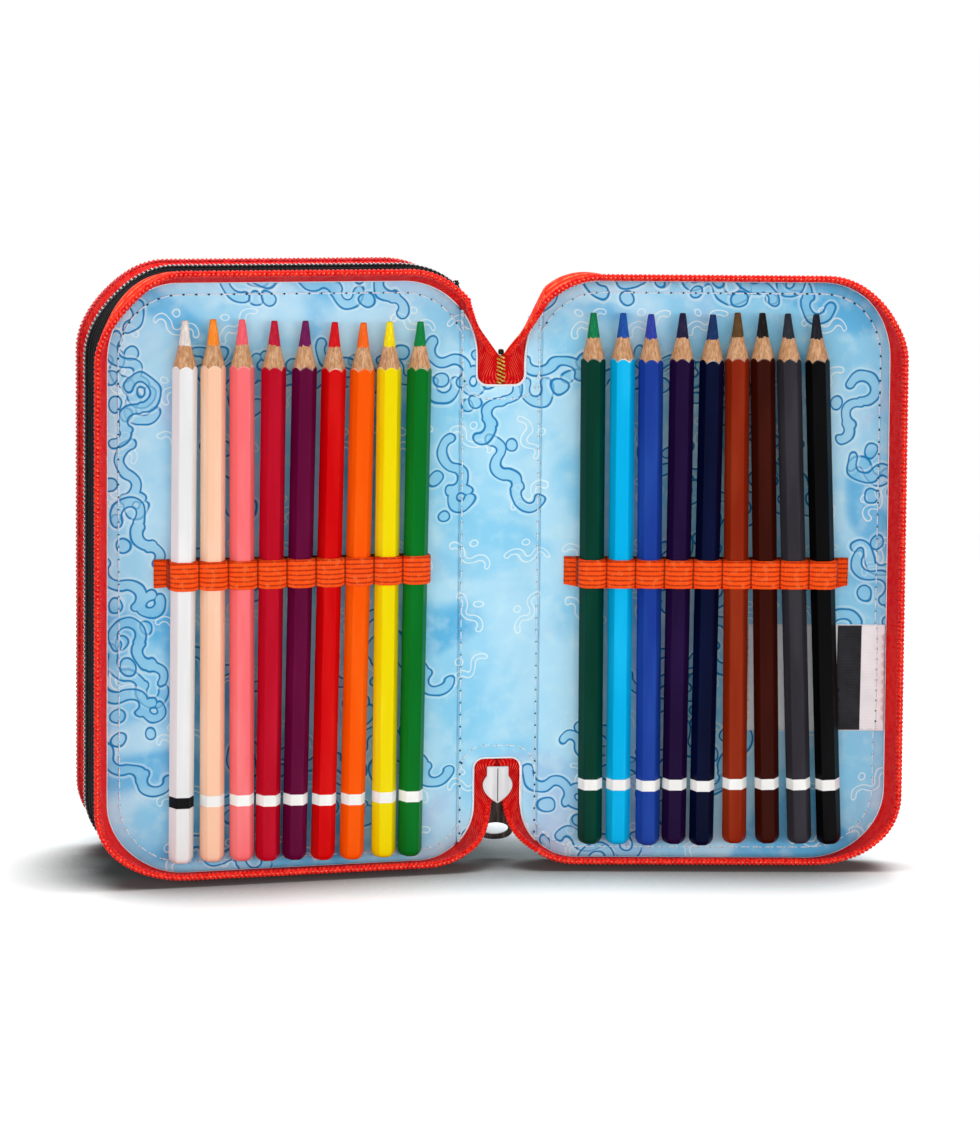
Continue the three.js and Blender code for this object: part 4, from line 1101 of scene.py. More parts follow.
# %% Walls of tape
WIRE, COIL_DIP, END_WIRE, END_PITCH, END_DIP = 0.68 * MM, 0.3 * MM, 0.58 * MM, 1.2 * MM, 0.2 * MM
FREE_EDGE = 0.75 * MM  # how far the cloth stops short of the wall's free edge
RIDGE_BELOW_COIL, RIDGE_HEIGHT, RIDGE_WIDTH = 1.3 * MM, 0.22 * MM, 0.45 * MM
SEAM_ROLL, ROLL_OFFSET, ROLL_DEPTH = 1.2 * MM, -0.25 * MM, 0.3 * MM
SOFT = {  # in mm: puff and tuck of the outer upper corner, lift of the top, puff and tuck of the inner one
    "left": (3.4, 2.6, 0.9, 1.2, 0.9),
    "right": (0.3, 1.2, 1.2, 4.4, 0.4),
    "middle": (0.9, 1.7, 0.9, 0.9, -1.3),
    "rear": (0.7, 1.7, 0.9, 0.7, -1.3),
}


def lean(name, height):
    """The tape's outer face at a level of the wall, as a function for rail. It curls in at its seam. Soft
    cloth puffs out at the two upper corners, and its free edge tucks in or stands out there."""
    seam = TAPE_SEWN_IN + TAPE_SOLID
    puffs, tucks, lift = SOFT[name][0::3], SOFT[name][1::3], SOFT[name][2] * MM
    def at(depth, extra):
        share = min(max(depth, 0) / height, 1)
        curl = 0.38 * MM * (1 - min(max(depth, 0) / (4 * MM), 1)) ** 2
        curl += 0.28 * max(0.0, -depth - 0.3 * MM)
        belly = math.sin(math.pi * min(share * 1.08, 1)) ** 0.9
        def offset(angle):
            up, aside = max(0.0, math.sin(angle)), abs(math.cos(angle))
            corner = (2 * up * aside) ** 2
            inner = math.cos(angle) < 0
            free = lift * up * up - tucks[inner] * MM * corner
            slack = puffs[inner] * MM * up**1.5 * aside**0.8 * 1.7 * belly
            return seam + (bulge_at(name, angle) - seam + free) * share + slack - curl + extra
        return offset
    return at


def tape_wall(name, side, bulge, root, height, inner_cloth, outer_cloth):
    coil_foot = height - COIL_HEIGHT
    ridge = coil_foot - RIDGE_BELOW_COIL
    below = np.linspace(root, ridge - 2 * RIDGE_WIDTH, 9)
    above = np.linspace(coil_foot + 0.2 * MM, height - FREE_EDGE, 4)
    levels = np.r_[below, ridge + np.arange(-1, 3) * RIDGE_WIDTH, above]
    leaning = lean(bulge, height)
    rings, uvs = [], []
    for outside, order in ((True, levels), (False, levels[::-1])):
        for depth in order:
            raised = RIDGE_HEIGHT * math.exp(-(((depth - ridge) / RIDGE_WIDTH) ** 2))
            inside_coil = max(0.0, min(1.0, (depth - coil_foot) / (0.8 * MM)))
            extra = raised if outside else -TAPE_THICK - raised
            extra += (-0.62 if outside else 0.1) * MM * inside_coil
            stations = rail(leaning(depth, extra))
            rings.append(side.at(stations[:, 0], depth, stations[:, 1]))
            uvs.append(np.column_stack([run_of(stations[:, :2]), np.full(len(stations), depth)]))
    return skin(name + "_tape_cloth", rings, uvs, [outer_cloth, inner_cloth])


def wall_coil(name, side, bulge, height, material, thread, start):
    """The wound coil on a wall's free edge, and the stitches that hold it."""
    leaning = lean(bulge, height)
    stations = rail(leaning(height - COIL_HEIGHT / 2, COIL_PROUD - COIL_THICK / 2), step=4 * MM)
    out = side.turned(np.cos(stations[:, 2]), np.sin(stations[:, 2]))
    path = side.at(stations[:, 0], height - COIL_HEIGHT / 2, stations[:, 1])
    taller = 0.12 * MM if height == CLOSED_WALL else 0.0
    coil = follow(
        name + "_coil_wire", path, out, side.out, COIL_TREE, material, Pitch=TOOTH_PITCH, Start=start,
        Wire=WIRE, Dip=COIL_DIP, Half_Width=COIL_THICK / 2 - WIRE,
        Half_Height=COIL_HEIGHT / 2 - WIRE + taller,
    )
    # A closed zip shows its sewing outside, an open one in the groove along its edge
    if height == OPEN_WALL:
        groove, faced = side.at(stations[:, 0], height - 0.36 * MM, stations[:, 1]), side.out
    else:
        groove, faced = path + out * (COIL_THICK / 2 - 0.12 * MM), out
    rows = dict(Spacing=TOOTH_PITCH, Piece=KNOT)
    seam = follow(name + "_coil_thread", groove, out, faced, ROW_TREE, thread, **rows)
    return coil, seam


walls = [  # name, side, bulge, height, body, colour, how far its coil is turned on
    ("left_zip", LEFT, "left", OPEN_WALL, "stack", "red", 0.0),
    ("right_zip", RIGHT, "right", OPEN_WALL, "front_cover", "red", 0.5),
    ("middle_front_zip", MIDDLE_FRONT, "middle", CLOSED_WALL, "stack", "black", 0.0),
    ("middle_rear_zip", MIDDLE_REAR, "middle", CLOSED_WALL, "rear_leaf", "black", 0.5),
    ("rear_front_zip", REAR_FRONT, "rear", CLOSED_WALL, "rear_leaf", "red", 0.0),
    ("rear_back_zip", REAR_BACK, "rear", CLOSED_WALL, "back_cover", "red", 0.5),
]
FINISHES = {
    "red": (RED_INNER, RED_OUTER, RED_COIL, RED_THREAD),
    "black": (BLACK_INNER, BLACK_OUTER, BLACK_COIL, WHITE_THREAD),
}
for name, side, bulge, height, body, colour, start in walls:
    inner_cloth, outer_cloth, wire_finish, thread = FINISHES[colour]
    if bulge == "rear":  # its tape and coil are painted darker, as painted shade
        outer_cloth, wire_finish = RED_SHADED, SHADED_RED_COIL
    root = SEWN_GAP - PANEL_FACE if height == OPEN_WALL else SEWN_GAP
    cloth = tape_wall(name, side, bulge, root, height, inner_cloth, outer_cloth)
    seat(cloth, body, colour + "_tape", name + "_tape")
    coil, seam = wall_coil(name, side, bulge, height, wire_finish, thread, start)
    seat(coil, body, colour + "_coil", name + "_coil")
    seat(seam, body, colour + "_coil")
    if height == CLOSED_WALL:  # the tape's sewn edge, rolled round the rim of its panel
        path = tray_path(side, ROLL_OFFSET, ROLL_DEPTH)
        roll = tube(name + "_rolled_seam", path, SEAM_ROLL, [outer_cloth], sides=10, around=side.out)
        seat(roll, body, colour + "_tape")
print("six walls of tape, the last coil with", len(coil.data.polygons), "faces")

# %% [markdown]
# ## Ends of the zips
# Where the open zip leaves a tray, its tape swings round the tray's corner and lies flat in the spine's
# notch, and both halves meet in a short closed chain. Each half is a strip between two lines: the line where
# it is sewn down and the line of its coil. These strips cross a fold.

# %% Lines of a zip's end
CHAIN_WIDTH, CHAIN_LENGTH, CHAIN_HALF = 3.0 * MM, 10 * MM, 0.62 * MM
CHAIN_PITCH, CHAIN_WIRE, CHAIN_DIP = 1.25 * MM, 0.3 * MM, 0.1 * MM
SLIDER_LENGTH, WEDGE_WIDTH = 12.4 * MM, 2.4 * MM
SLIDER_AT = NOTCH - 3 * MM
RIBBON_PROUD, COIL_SET_IN = 0.7 * MM, 0.75 * MM
ACROSS = [0, 0.08, 0.2, 0.35, 0.5, 0.65, 0.8, 0.92, 0.97]
SAG = {  # how an upper end's line is drawn by its wall and by the chain, as shares of their distance
    "left": ((-0.03, -0.05, -0.14), (-0.25, 0.2, 0.3)),
    "right": ((-0.02, -0.05, -0.09), (-0.13, 0.2, 0.24)),
}


def evenly(points, count):
    """The same line with evenly spaced points."""
    run = run_of(points)
    at = np.linspace(0, run[-1], count)
    return np.column_stack([np.interp(at, run, points[:, k]) for k in range(3)])


def wall_end(bulge, lower, depth, extra):
    """Where the open zip's wall ends at the fold, in the front spine's u, d and w, drawn at its upper end."""
    stations = rail(lean(bulge, OPEN_WALL)(depth, extra))
    u, w = (stations[-1] if lower else stations[0])[:2]
    near, far = (stations[-2] if lower else stations[1])[:2], (u, w)
    if lower:
        w = LINING_HEIGHT - w
    way = np.array(far) - near
    way = np.array([-way[0], 0, -abs(way[1])]) / np.linalg.norm(way)
    back, sine, cosine = -u, math.sin(FOLD), math.cos(FOLD)
    return np.array([back * cosine + depth * sine, depth * cosine - back * sine, w]), way


def end_lines(bulge, lower, closed_from, closed_to, spread):
    """Where one half is sewn and where its coil runs, in the front spine's u, d and w, at its upper end."""
    seam = TAPE_SEWN_IN + TAPE_SOLID / 2
    size = FOOT_CORNER if lower else CORNER
    radius, bend = size + seam, NOTCH_CORNER - seam
    top = LINING_HEIGHT - NOTCH + NOTCH_CORNER
    reach = math.acos((size - EAR + SEWN_GAP) / radius)
    foot = SEWN_GAP - PANEL_FACE
    sewn = [wall_end(bulge, lower, foot, -TAPE_THICK / 2)[0]]
    for s in np.linspace(0.06, 1, 10):
        turn, depth = reach * (1 - s), -CHAIN_DEPTH * (0.4 + 0.6 * s)
        out, up = radius * math.cos(turn), radius * math.sin(turn)
        sewn.append((EAR - size + out, depth, LINING_HEIGHT - size + up))
    for s in np.linspace(0, math.pi / 2, 8):
        sewn.append((EAR + NOTCH_CORNER - bend * math.cos(s), -CHAIN_DEPTH, top - bend * math.sin(s)))
    edge = SPINE_WIDTH / 2 - CHAIN_WIDTH / 2 + SEWN_GAP
    sewn.append((edge - CHAIN_WIDTH / 2, -CHAIN_DEPTH, top - bend))
    rise = OPEN_WALL - COIL_HEIGHT / 2 - SEWN_GAP + PANEL_FACE
    tuck = [-TAPE_THICK / 2 - 2.5 * MM * max(0.0, share - 0.8) for share in ACROSS]
    start = [wall_end(bulge, lower, foot + rise * share, inset)[0] for share, inset in zip(ACROSS, tuck)]
    tip, way = wall_end(bulge, lower, OPEN_WALL - COIL_HEIGHT / 2, COIL_PROUD - COIL_THICK / 2)
    joined = np.array([edge - spread, -CHAIN_DEPTH, LINING_HEIGHT - closed_from])
    lead = np.linalg.norm(tip - joined)
    if lower:
        one, two = tip + 0.3 * lead * way, joined + [-spread / 2, 0.12 * lead, 0.42 * lead]
    else:
        sag, pull = SAG[bulge]
        one, two = tip + 0.12 * lead * way + lead * np.array(sag), joined + lead * np.array(pull)
    s = np.linspace(0, 1, 25)[:, None]
    coil = (1 - s) ** 3 * tip + 3 * (1 - s) ** 2 * s * one + 3 * (1 - s) * s**2 * two + s**3 * joined
    shut = SPINE_WIDTH / 2 + 0.3 * MM
    heights = [LINING_HEIGHT - share * closed_from - (1 - share) * closed_to for share in (0.9, 0.5, 0.0)]
    ends = [(shut, -CHAIN_DEPTH, height) for height in heights]
    return np.array(sewn), np.vstack([coil, ends]), np.array(start)


def placed(side, line, lower, mirrored):
    """An end's line on its side: turned over for the lower notch, and mirrored for the right half."""
    u, d, w = np.array(line).T
    if mirrored:
        u = SPINE_WIDTH - u
    return side.at(u, d, LINING_HEIGHT - w if lower else w)


def run_share(points):
    """How far along a line each of its points is, from 0 to 1."""
    run = run_of(points)
    return run / run[-1]


def ribbon(name, sewn, coil, start, inner_cloth, outer_cloth, facing):
    """A strip of tape between two lines, which starts with a wall's slack section and flattens from there.
    Its inner cloth is on the side that faces the given way."""
    count = 30
    a, b = evenly(sewn, count), evenly(coil, count)
    middle = (a + b) / 2
    ahead = np.gradient(middle, axis=0)
    across = b - a
    width = np.linalg.norm(across, axis=1)[:, None]
    # Away from the wall the tape's edge comes out past its coil
    across = across * (1 + RIBBON_PROUD * np.clip(run_share(middle) * 4, 0, 1)[:, None] / width)
    normal = np.cross(across / width, ahead / np.linalg.norm(ahead, axis=1)[:, None])
    normal /= np.linalg.norm(normal, axis=1)[:, None]
    rings, uvs = [], []
    run = run_of(middle)
    slack = np.clip(1 - run / (0.75 * run[-1]), 0, 1)[:, None] ** 1.4
    for lift, order in ((1, range(len(ACROSS))), (-1, range(len(ACROSS))[::-1])):
        for k in order:
            share = ACROSS[k]
            hang = (start[k] - a[0] - across[0] * share) * slack
            rings.append(a + across * share + hang + normal * (lift * TAPE_THICK / 2))
            uvs.append(np.column_stack([run, width[:, 0] * share]))
    shown = normal.mean(0) @ facing > 0
    made = skin(name, rings, uvs, [inner_cloth, outer_cloth] if shown else [outer_cloth, inner_cloth])
    cut = (max(width.mean() + SEAM_ALLOWANCE, 10.2 * MM), run[-1])
    return made, across / width, normal, cut


def chain(name, line, side, finish_of, start, half_width, body, slot):
    """One half of a short closed chain of teeth."""
    made = follow(
        name, line, side.out, side.along, COIL_TREE, finish_of, Pitch=CHAIN_PITCH, Start=start,
        Wire=CHAIN_WIRE, Dip=CHAIN_DIP, Half_Width=half_width, Half_Height=CHAIN_HALF,
    )
    seat(made, body, slot)


# %% Open zip's ends
CLOSED_TO = NOTCH - 2 * SEWN_GAP
ends = {  # is it the lower one, where its closed chain starts and ends, and how wide its halves stand there
    "top": (False, NOTCH - CHAIN_LENGTH, CLOSED_TO, 0.0),
    "bottom": (True, SLIDER_AT - SLIDER_LENGTH, CLOSED_TO, WEDGE_WIDTH / 2 + SEWN_GAP),
}
folds = {"left": ("stack", LEFT.origin, SPINE.along), "right": ("front_cover", RIGHT.origin, -SPINE.along)}
for end, (lower, closed_from, closed_to, spread) in ends.items():
    for half, (near, fold, along) in folds.items():
        sewn, coil_line, start = end_lines(half, lower, closed_from, closed_to, spread)
        lines = (sewn, coil_line, start, coil_line[:-3])
        sewn, coil_line, start, swing = [placed(SPINE, line, lower, half == "right") for line in lines]
        name, node = f"{half}_zip_{end}_end", "front_zip_end_" + end
        # Each end's inner face is the darker red tape, painted shade
        made = ribbon(name + "_cloth", sewn, coil_line, start, RED_SHADED, RED_OUTER, SPINE.out)
        cloth, across, normal, cut = made
        bend_at_fold(cloth, near, "front_spine", fold, along, "red_tape", node)
        steps = np.linspace(0, len(across) - 1, len(swing)).round().astype(int)
        if not lower:  # there its coil lies on the tape's face
            swing = swing - across[steps] * (COIL_SET_IN * np.clip(run_share(swing) * 4, 0, 1)[:, None])
        wire = follow(
            name + "_coil_wire", swing, normal[steps], across[steps], COIL_TREE, RED_COIL,
            Pitch=END_PITCH, Start=0.25, Wire=END_WIRE, Dip=END_DIP,
            Half_Width=COIL_THICK / 2 - WIRE, Half_Height=COIL_HEIGHT / 2 - WIRE - 0.1 * MM,
        )
        bend_at_fold(wire, near, "front_spine", fold, along, "red_coil")
    if lower:  # the slider covers the closed teeth there
        continue
    for half, u, start in (("left", -CHAIN_HALF, 0.0), ("right", CHAIN_HALF, 0.5)):
        heights = LINING_HEIGHT - np.linspace(closed_from, closed_to - 0.3 * MM, 12)
        line = SPINE.at(SPINE_WIDTH / 2 + u, -CHAIN_DEPTH + 0.15 * MM, heights)
        chain(f"{half}_chain_{end}", line, SPINE, GOLD_COIL, start, 0.7 * MM, "front_spine", "red_coil")
print("open zip's ends made")

# %% Closed zips' ends
def crown(name, lower):
    """The line along which two closed walls end over their spine, as u and w at the spine's lower end."""
    shares = np.linspace(0, 1, 9)
    ends = [rail(lean(name, CLOSED_WALL)(share * CLOSED_WALL, 0))[-1 if lower else 0] for share in shares]
    rise = np.array([w if lower else LINING_HEIGHT - w for _, w, *_ in ends]) + 0.2 * MM
    across = SEWN_GAP + shares * (CLOSED_SPINE / 2 - SEWN_GAP)
    near, far = np.column_stack([across, rise]), np.column_stack([CLOSED_SPINE - across, rise])
    return np.vstack([near, far[::-1][1:]])


def closed_tape(name, lower):
    """The outline of the tape that fills a closed spine's notch, anticlockwise."""
    notch = notch_edge(CLOSED_SPINE, SEWN_GAP, lower, SEWN_GAP)
    if not lower:
        notch = notch * [1, -1] + [0, LINING_HEIGHT]
    outline = np.vstack([notch[::-1], crown(name, lower)])
    return outline if lower else (outline * [1, -1] + [0, LINING_HEIGHT])[::-1]


closed = {  # side, the body on each hand and colour
    "middle": (MIDDLE_SPINE, "stack", "rear_leaf", "black"),
    "rear": (REAR_SPINE, "rear_leaf", "back_cover", "red"),
}
MIDDLE, LEAST_AREA = CLOSED_SPINE / 2, 0.00012
front, back = level(-CHAIN_DEPTH + 0.3 * MM), level(-CHAIN_DEPTH - 0.3 * MM)
for name, (side, near, far, colour) in closed.items():
    outer_cloth, wire_finish = FINISHES[colour][1:3]
    for end, lower in (("top", False), ("bottom", True)):
        outline, node = closed_tape(name, lower), f"{name}_zip_end_{end}"
        for half, way, body in (("near", -1, near), ("far", 1, far)):
            keep = min if way < 0 else max
            part = np.array([(keep(u, MIDDLE + way * 0.2 * MM), w) for u, w in outline])
            part = part[np.linalg.norm(part - np.roll(part, -1, 0), axis=1) > 1e-6]
            piece_name = f"{name}_{half}_{end}_end_cloth"
            cloth = panel(piece_name, side, part, front, back, outer_cloth, insets=(0.3,), spacing=2.5)
            fold = side.at(0 if way < 0 else CLOSED_SPINE, 0, 0)
            bend_at_fold(cloth, body, name + "_spine", fold, -way * side.along, colour + "_tape", node)
            u, w = part.T
            area = max(abs(u @ np.roll(w, -1) - w @ np.roll(u, -1)) / 2, LEAST_AREA)
        rim = crown(name, lower)[8, 1]
        for half, u, start in (("near", -CHAIN_HALF, 0.0), ("far", CHAIN_HALF, 0.5)):
            w = np.linspace(rim + 0.3 * MM, NOTCH - 0.6 * MM, 16)
            line = side.at(MIDDLE + u, -CHAIN_DEPTH, w if lower else LINING_HEIGHT - w)
            chain_name = f"{name}_{half}_{end}_chain"
            chain(chain_name, line, side, wire_finish, start, 0.8 * MM, name + "_spine", colour + "_coil")
print("closed zips' ends made")

# %% [markdown]
# ## Elastic loops
# One woven elastic band is stitched to the lining between the pencils, so it hugs each pencil and dips where
# it is sewn. Its section is a comb: a smooth wave outside and a slot for each pencil inside. It is drawn out
# along its height in many rows, so that its six lengthwise ribs stand out.

# %% Elastic bands
PENCIL_LIFT, FLATS = 0.8 * MM, 7 * MM
PENCIL_CORNER = FLATS / 2 / math.cos(math.pi / 6)
LOOPS = {"left": (LEFT, 15.3 * MM, 98.4 * MM, False), "right": (RIGHT, 16.7 * MM, 96.4 * MM, True)}
COUNT = 9


def band_section(first, tab_at_first):
    """The elastic's outer line and its inner line, from the fold outwards, as rows of u and d."""
    inner = PENCIL_LIFT + FLATS + SEWN_GAP
    outer, web, low = inner + 0.95 * MM, 0.22 * MM, 0.15 * MM
    flat, shoulder = PENCIL_CORNER / 2 + SEWN_GAP, PENCIL_LIFT + FLATS / 2 + SEWN_GAP
    valley = (shoulder + outer) / 2 - SEWN_GAP
    start, end = first - PITCH / 2, first + PITCH * (COUNT - 0.5)
    top, under = [], []
    tab = [(4.2, 0.2), (4.1, 0.9), (1.0, 1.0)]  # mm out from the last seam, and mm up from the lining
    if tab_at_first:
        top += [(start - out * MM, low + up * MM) for out, up in tab]
        under.append((start - 4.2 * MM, low))
    top += [(start - web, low + (1.2 if tab_at_first else 0.3) * MM), (start - web, valley * 0.75)]
    under.append((start - web, low))
    gap = PITCH / 2 - web
    for i in range(COUNT):
        centre = first + PITCH * i
        for share in np.linspace(-0.94, 0.94, 17):
            swell = (1 - abs(share) ** 3.2) ** 0.8
            top.append((centre + share * PITCH / 2, valley + (outer - valley) * swell))
        slot = [(-gap, low), (-gap, shoulder), (-flat, inner), (flat, inner), (gap, shoulder), (gap, low)]
        under += [(centre + u, d) for u, d in slot]
    top += [(end + web, valley * 0.75), (end + web, low + 1.2 * MM)]
    top += [(end + out * MM, low + up * MM) for out, up in tab[::-1]]
    under.append((end + 4.2 * MM, low))
    return np.array(top), np.array(under)


def elastic_band(name, side, first, middle, tab_at_first):
    top, under = band_section(first, tab_at_first)
    section = np.vstack([top, under[::-1]])
    run = section[:, 0] - first + PITCH / 2
    swell = np.clip(1 - np.abs(2 * ((run / PITCH) % 1) - 1) ** 4, 0, 1)
    rows = 31
    rings, uvs = [], []
    for i in range(rows):
        share = i / (rows - 1)
        rib = 0.16 * MM * (0.5 - 0.5 * math.cos(2 * math.pi * 6 * share)) - 0.16 * MM
        end = 0.25 * MM * max(0.0, 1 - min(share, 1 - share) * 18)
        depth = section[:, 1] + np.where(np.arange(len(section)) < len(top), rib - end, 0)
        height = middle + (share - 0.5) * (BAND_HEIGHT - 0.8 * MM * (1 - swell))
        rings.append(side.at(section[:, 0], depth, height))
        uvs.append(np.column_stack([run, np.full(len(section), share * BAND_HEIGHT)]))
    count = len(section)
    faces = grid_faces(rows, count, ring=True) + end_faces(rows, count)
    return piece(name, np.vstack(rings), faces, [ELASTIC], uv=np.vstack(uvs))


for name, (side, first, middle, tab) in LOOPS.items():
    band = elastic_band(name + "_elastic_band", side, first, middle, tab)
    seat(band, "stack" if name == "left" else "front_cover", "elastic", name + "_elastic")
    print(band.name, len(band.data.polygons), "faces")

# %% [markdown]
# ## Coloured pencils
# Each pencil is six-sided cedar, dipped in lacquer, with a printed band near its rounded end. Sharpening cuts
# a cone through the six sides, and that leaves the scalloped edge of the paint: the flats keep their paint
# further up than the corners. One mesh of rings holds lacquer, band, wood and lead, each with its own finish.

# %% Pencil finishes
def lacquer(name, code, edge):
    # Dipped nitrocellulose lacquer: glossy clear coat over an even colour, slightly thinner on the corners
    sockets = dict(Roughness=0.3, Specular_IOR_Level=0.06, Coat_Weight=0.06, Coat_Roughness=0.08)
    material, tree, shader = finish(name, **sockets)
    flow = cloudy(tree, inner_place(tree, 0.15), 160.0)
    colour = blend(tree, ramp(tree, flow, 0.4, 0.75), code, edge)
    surface(tree, shader, colour, flow, 0.12, 0.08 * MM)
    return material


def core(name, code):
    # Pigment bound in wax and clay: matt, with a streaked cut surface whose lighter streaks are painted
    # glints
    sockets = dict(Roughness=0.55, Specular_IOR_Level=0.2, Subsurface_Weight=0.05, Subsurface_Scale=0.4 * MM)
    material, tree, shader = finish(name, **sockets)
    cut = cloudy(tree, inner_place(tree, 0.3), 1500.0, 3.0)
    painted_glint_tone = [min(1.0, c * 1.25 + 0.01) for c in linear(code)]
    surface(tree, shader, blend(tree, ramp(tree, cut, 0.45, 0.7), linear(code), painted_glint_tone), cut, 0.4, 0.12 * MM)
    return material


def cedar():
    # Sharpened cedar: straight grain along the pencil, short dark pores, and a dry matt cut
    material, tree, shader = finish("sharpened_cedar", Roughness=0.7)
    grain = inner_place(tree, 0.12)
    lines, pores = cloudy(tree, grain, 1400.0, 4.0), cloudy(tree, grain, 2600.0, 1.0)
    colour = blend(tree, ramp(tree, lines, 0.35, 0.65), "#DDB088", "#BE8C5F")
    colour = blend(tree, ramp(tree, pores, 0.55, 0.68, 0.0, 0.6), colour, "#94603E")
    surface(tree, shader, colour, lines, 0.5, 0.12 * MM)
    return material


CEDAR = cedar()
WHITE_PRINT = lacquer("white_printed_band", "#EFEFEC", "#FBFBF8")
BLACK_PRINT = lacquer("black_printed_band", "#101012", "#232326")
print("pencil finishes ready")

# %% Pencil shape
PENCIL_LENGTH, LEAD_LENGTH, WOOD_LENGTH = 175 * MM, 7.8 * MM, 8.1 * MM
LEAD_ROOT, LEAD_TIP = 2.0 * MM, 0.95 * MM
CONE_ROOT = PENCIL_LENGTH - LEAD_LENGTH - WOOD_LENGTH
FACET = np.radians([1.5, 6, 17, 30, 43, 54, 58.5])
AROUND = np.concatenate([np.radians(60 * k) + FACET for k in range(6)])
HEX = np.minimum(FLATS / 2 / np.cos((AROUND % (math.pi / 3)) - math.pi / 6), PENCIL_CORNER - 0.06 * MM)


def pencil(name, side, u, middle, foot, tilt, finishes, seed):
    """A pencil whose axis passes through its loop. foot is the height of its lower end before it tilts."""
    chance = random.Random(seed)
    # The paint chips off a little short of the sharp scallops that the cone would cut
    taper = PENCIL_CORNER - LEAD_ROOT
    paint_edge = CONE_ROOT + 0.5 * MM + 0.5 * (PENCIL_CORNER - HEX) * WOOD_LENGTH / taper
    whittled = np.array([chance.uniform(-0.55, 0.55) * MM for _ in AROUND])
    whittled = (whittled + np.roll(whittled, 1)) / 2
    lead_root = PENCIL_LENGTH - LEAD_LENGTH + whittled
    cone = lambda w: np.minimum(PENCIL_CORNER - (w - CONE_ROOT) * taper / WOOD_LENGTH, HEX)
    flat = np.ones(len(AROUND))
    rows, marks = [], []
    def row(radius, height, mark):
        rows.append((radius * flat, height * flat))
        marks.append(mark)
    round_hex = 0.5 * (HEX + FLATS / 2)
    row(HEX * 0.3, 0.0, 0)
    for inset, height in ((1.5, 0.06), (0.72, 0.36), (0.24, 0.95)):  # the rounded end
        row(round_hex - inset * MM, height * MM, 0)
    row(0.3 * round_hex + 0.7 * HEX - 0.03 * MM, 1.7 * MM, 0)
    row(HEX, 2.6 * MM, 0)
    row(HEX, 18.6 * MM, 1)
    row(HEX, 22.2 * MM, 0)
    row(HEX, CONE_ROOT - 8 * MM, 0)
    row(HEX, paint_edge - 0.35 * MM, 2)
    row(HEX, paint_edge, 3)
    row(cone(paint_edge + 0.2 * MM) - 0.05 * MM, paint_edge + 0.2 * MM, 3)
    for share in (0.35, 0.7):
        height = paint_edge + (lead_root - paint_edge) * share
        row(cone(height) - 0.05 * MM, height, 3)
    row(cone(lead_root), lead_root, 4)
    slope = (LEAD_ROOT - LEAD_TIP) / LEAD_LENGTH
    for share in (0.3, 0.6, 0.86):
        height = lead_root + (PENCIL_LENGTH - lead_root) * share
        worn = 1 + 0.03 * np.sin(3 * AROUND + seed)  # a lead is never quite round
        row((LEAD_ROOT - slope * (height - PENCIL_LENGTH + LEAD_LENGTH)) * worn, height, 4)
    for share, below in ((1.02, 0.2), (0.85, 0.03), (0.5, 0)):  # the blunted tip
        row(LEAD_TIP * share, PENCIL_LENGTH - below * MM, 4)
    points = []
    lean_out, axis = math.radians(tilt), PENCIL_LIFT + FLATS / 2
    for radius, height in rows:
        x, y = radius * np.cos(AROUND), radius * np.sin(AROUND)
        along = foot + height - middle
        across = x * math.cos(lean_out) + along * math.sin(lean_out)
        up = along * math.cos(lean_out) - x * math.sin(lean_out)
        points.append(side.at(u + across, axis + y, middle + up))
    count = len(AROUND)
    faces = grid_faces(len(rows), count, ring=True) + end_faces(len(rows), count)
    marks = [mark for mark in marks[:-1] for _ in range(count)] + [0, 4]
    return piece("coloured_pencil_" + name, np.vstack(points), faces, finishes, marks=marks)


# %% The eighteen pencils
pencils = [  # name, paint, paint's lighter tone, lead, foot's height in pencil widths, lean in degrees
    ("green", "#026C1F", "#047524", "#0C7F3C", 0.443, 0.9),
    ("yellow", "#EED700", "#F4E11E", "#F2DA10", 0.457, 0.5),
    ("orange", "#F75601", "#F7630D", "#F4661A", 0.429, 1.2),
    ("red", "#CC0006", "#D61411", "#CF1018", 0.471, 1.3),
    ("purple", "#5C0433", "#690C3C", "#6B1250", 0.543, 1.3),
    ("crimson", "#B60721", "#C1112E", "#B81834", 0.557, 0.9),
    ("salmon", "#F76E73", "#F78183", "#F0606C", 0.629, 0.3),
    ("peach", "#F7C5A5", "#F7D1B6", "#F58A2C", 0.657, 0.5),
    ("white", "#E4E5E5", "#EFEFF1", "#D9D4CE", 0.629, 0.9),
    ("dark_green", "#003627", "#034031", "#0A7A4A", 0.829, -0.4),
    ("light_blue", "#00B0E8", "#14BBF0", "#1A4FA0", 0.829, -0.3),
    ("blue", "#193A94", "#2247A0", "#2E3E9E", 0.786, -0.6),
    ("dark_purple", "#1C0831", "#240D3C", "#1F1A3A", 0.843, -0.1),
    ("navy", "#020827", "#040E33", "#16305E", 0.786, 0.1),
    ("rust", "#85220A", "#922F14", "#5A4224", 0.886, -0.9),
    ("dark_brown", "#340B04", "#3F1208", "#17110F", 0.886, -1.9),
    ("grey", "#2F2D33", "#39373E", "#2A2D36", 0.871, -2.7),
    ("black", "#060607", "#0C0C0F", "#1A1C24", 0.85, -2.9),
]
for i, (name, paint, lit, lead, foot, tilt) in enumerate(pencils):
    tray = "left" if i < COUNT else "right"
    side, first, middle, _ = LOOPS[tray]
    coat = lacquer(f"{name}_dipped_lacquer", paint, lit)
    dusty = lacquer(f"{name}_scraped_paint_edge", lit, "#F2E6D8")
    band = BLACK_PRINT if name == "white" else WHITE_PRINT
    finishes = [coat, band, dusty, CEDAR, core(f"{name}_wax_lead", lead)]
    sign = -1 if tray == "left" else 1
    made = pencil(name, side, first + PITCH * (i % COUNT), middle, foot * FLATS, sign * tilt, finishes, i)
    seat(made, "pencil_" + name, "pencil_" + name, "pencil_" + name)
print("pencils made:", len(pencils), "each of", len(made.data.polygons), "faces")

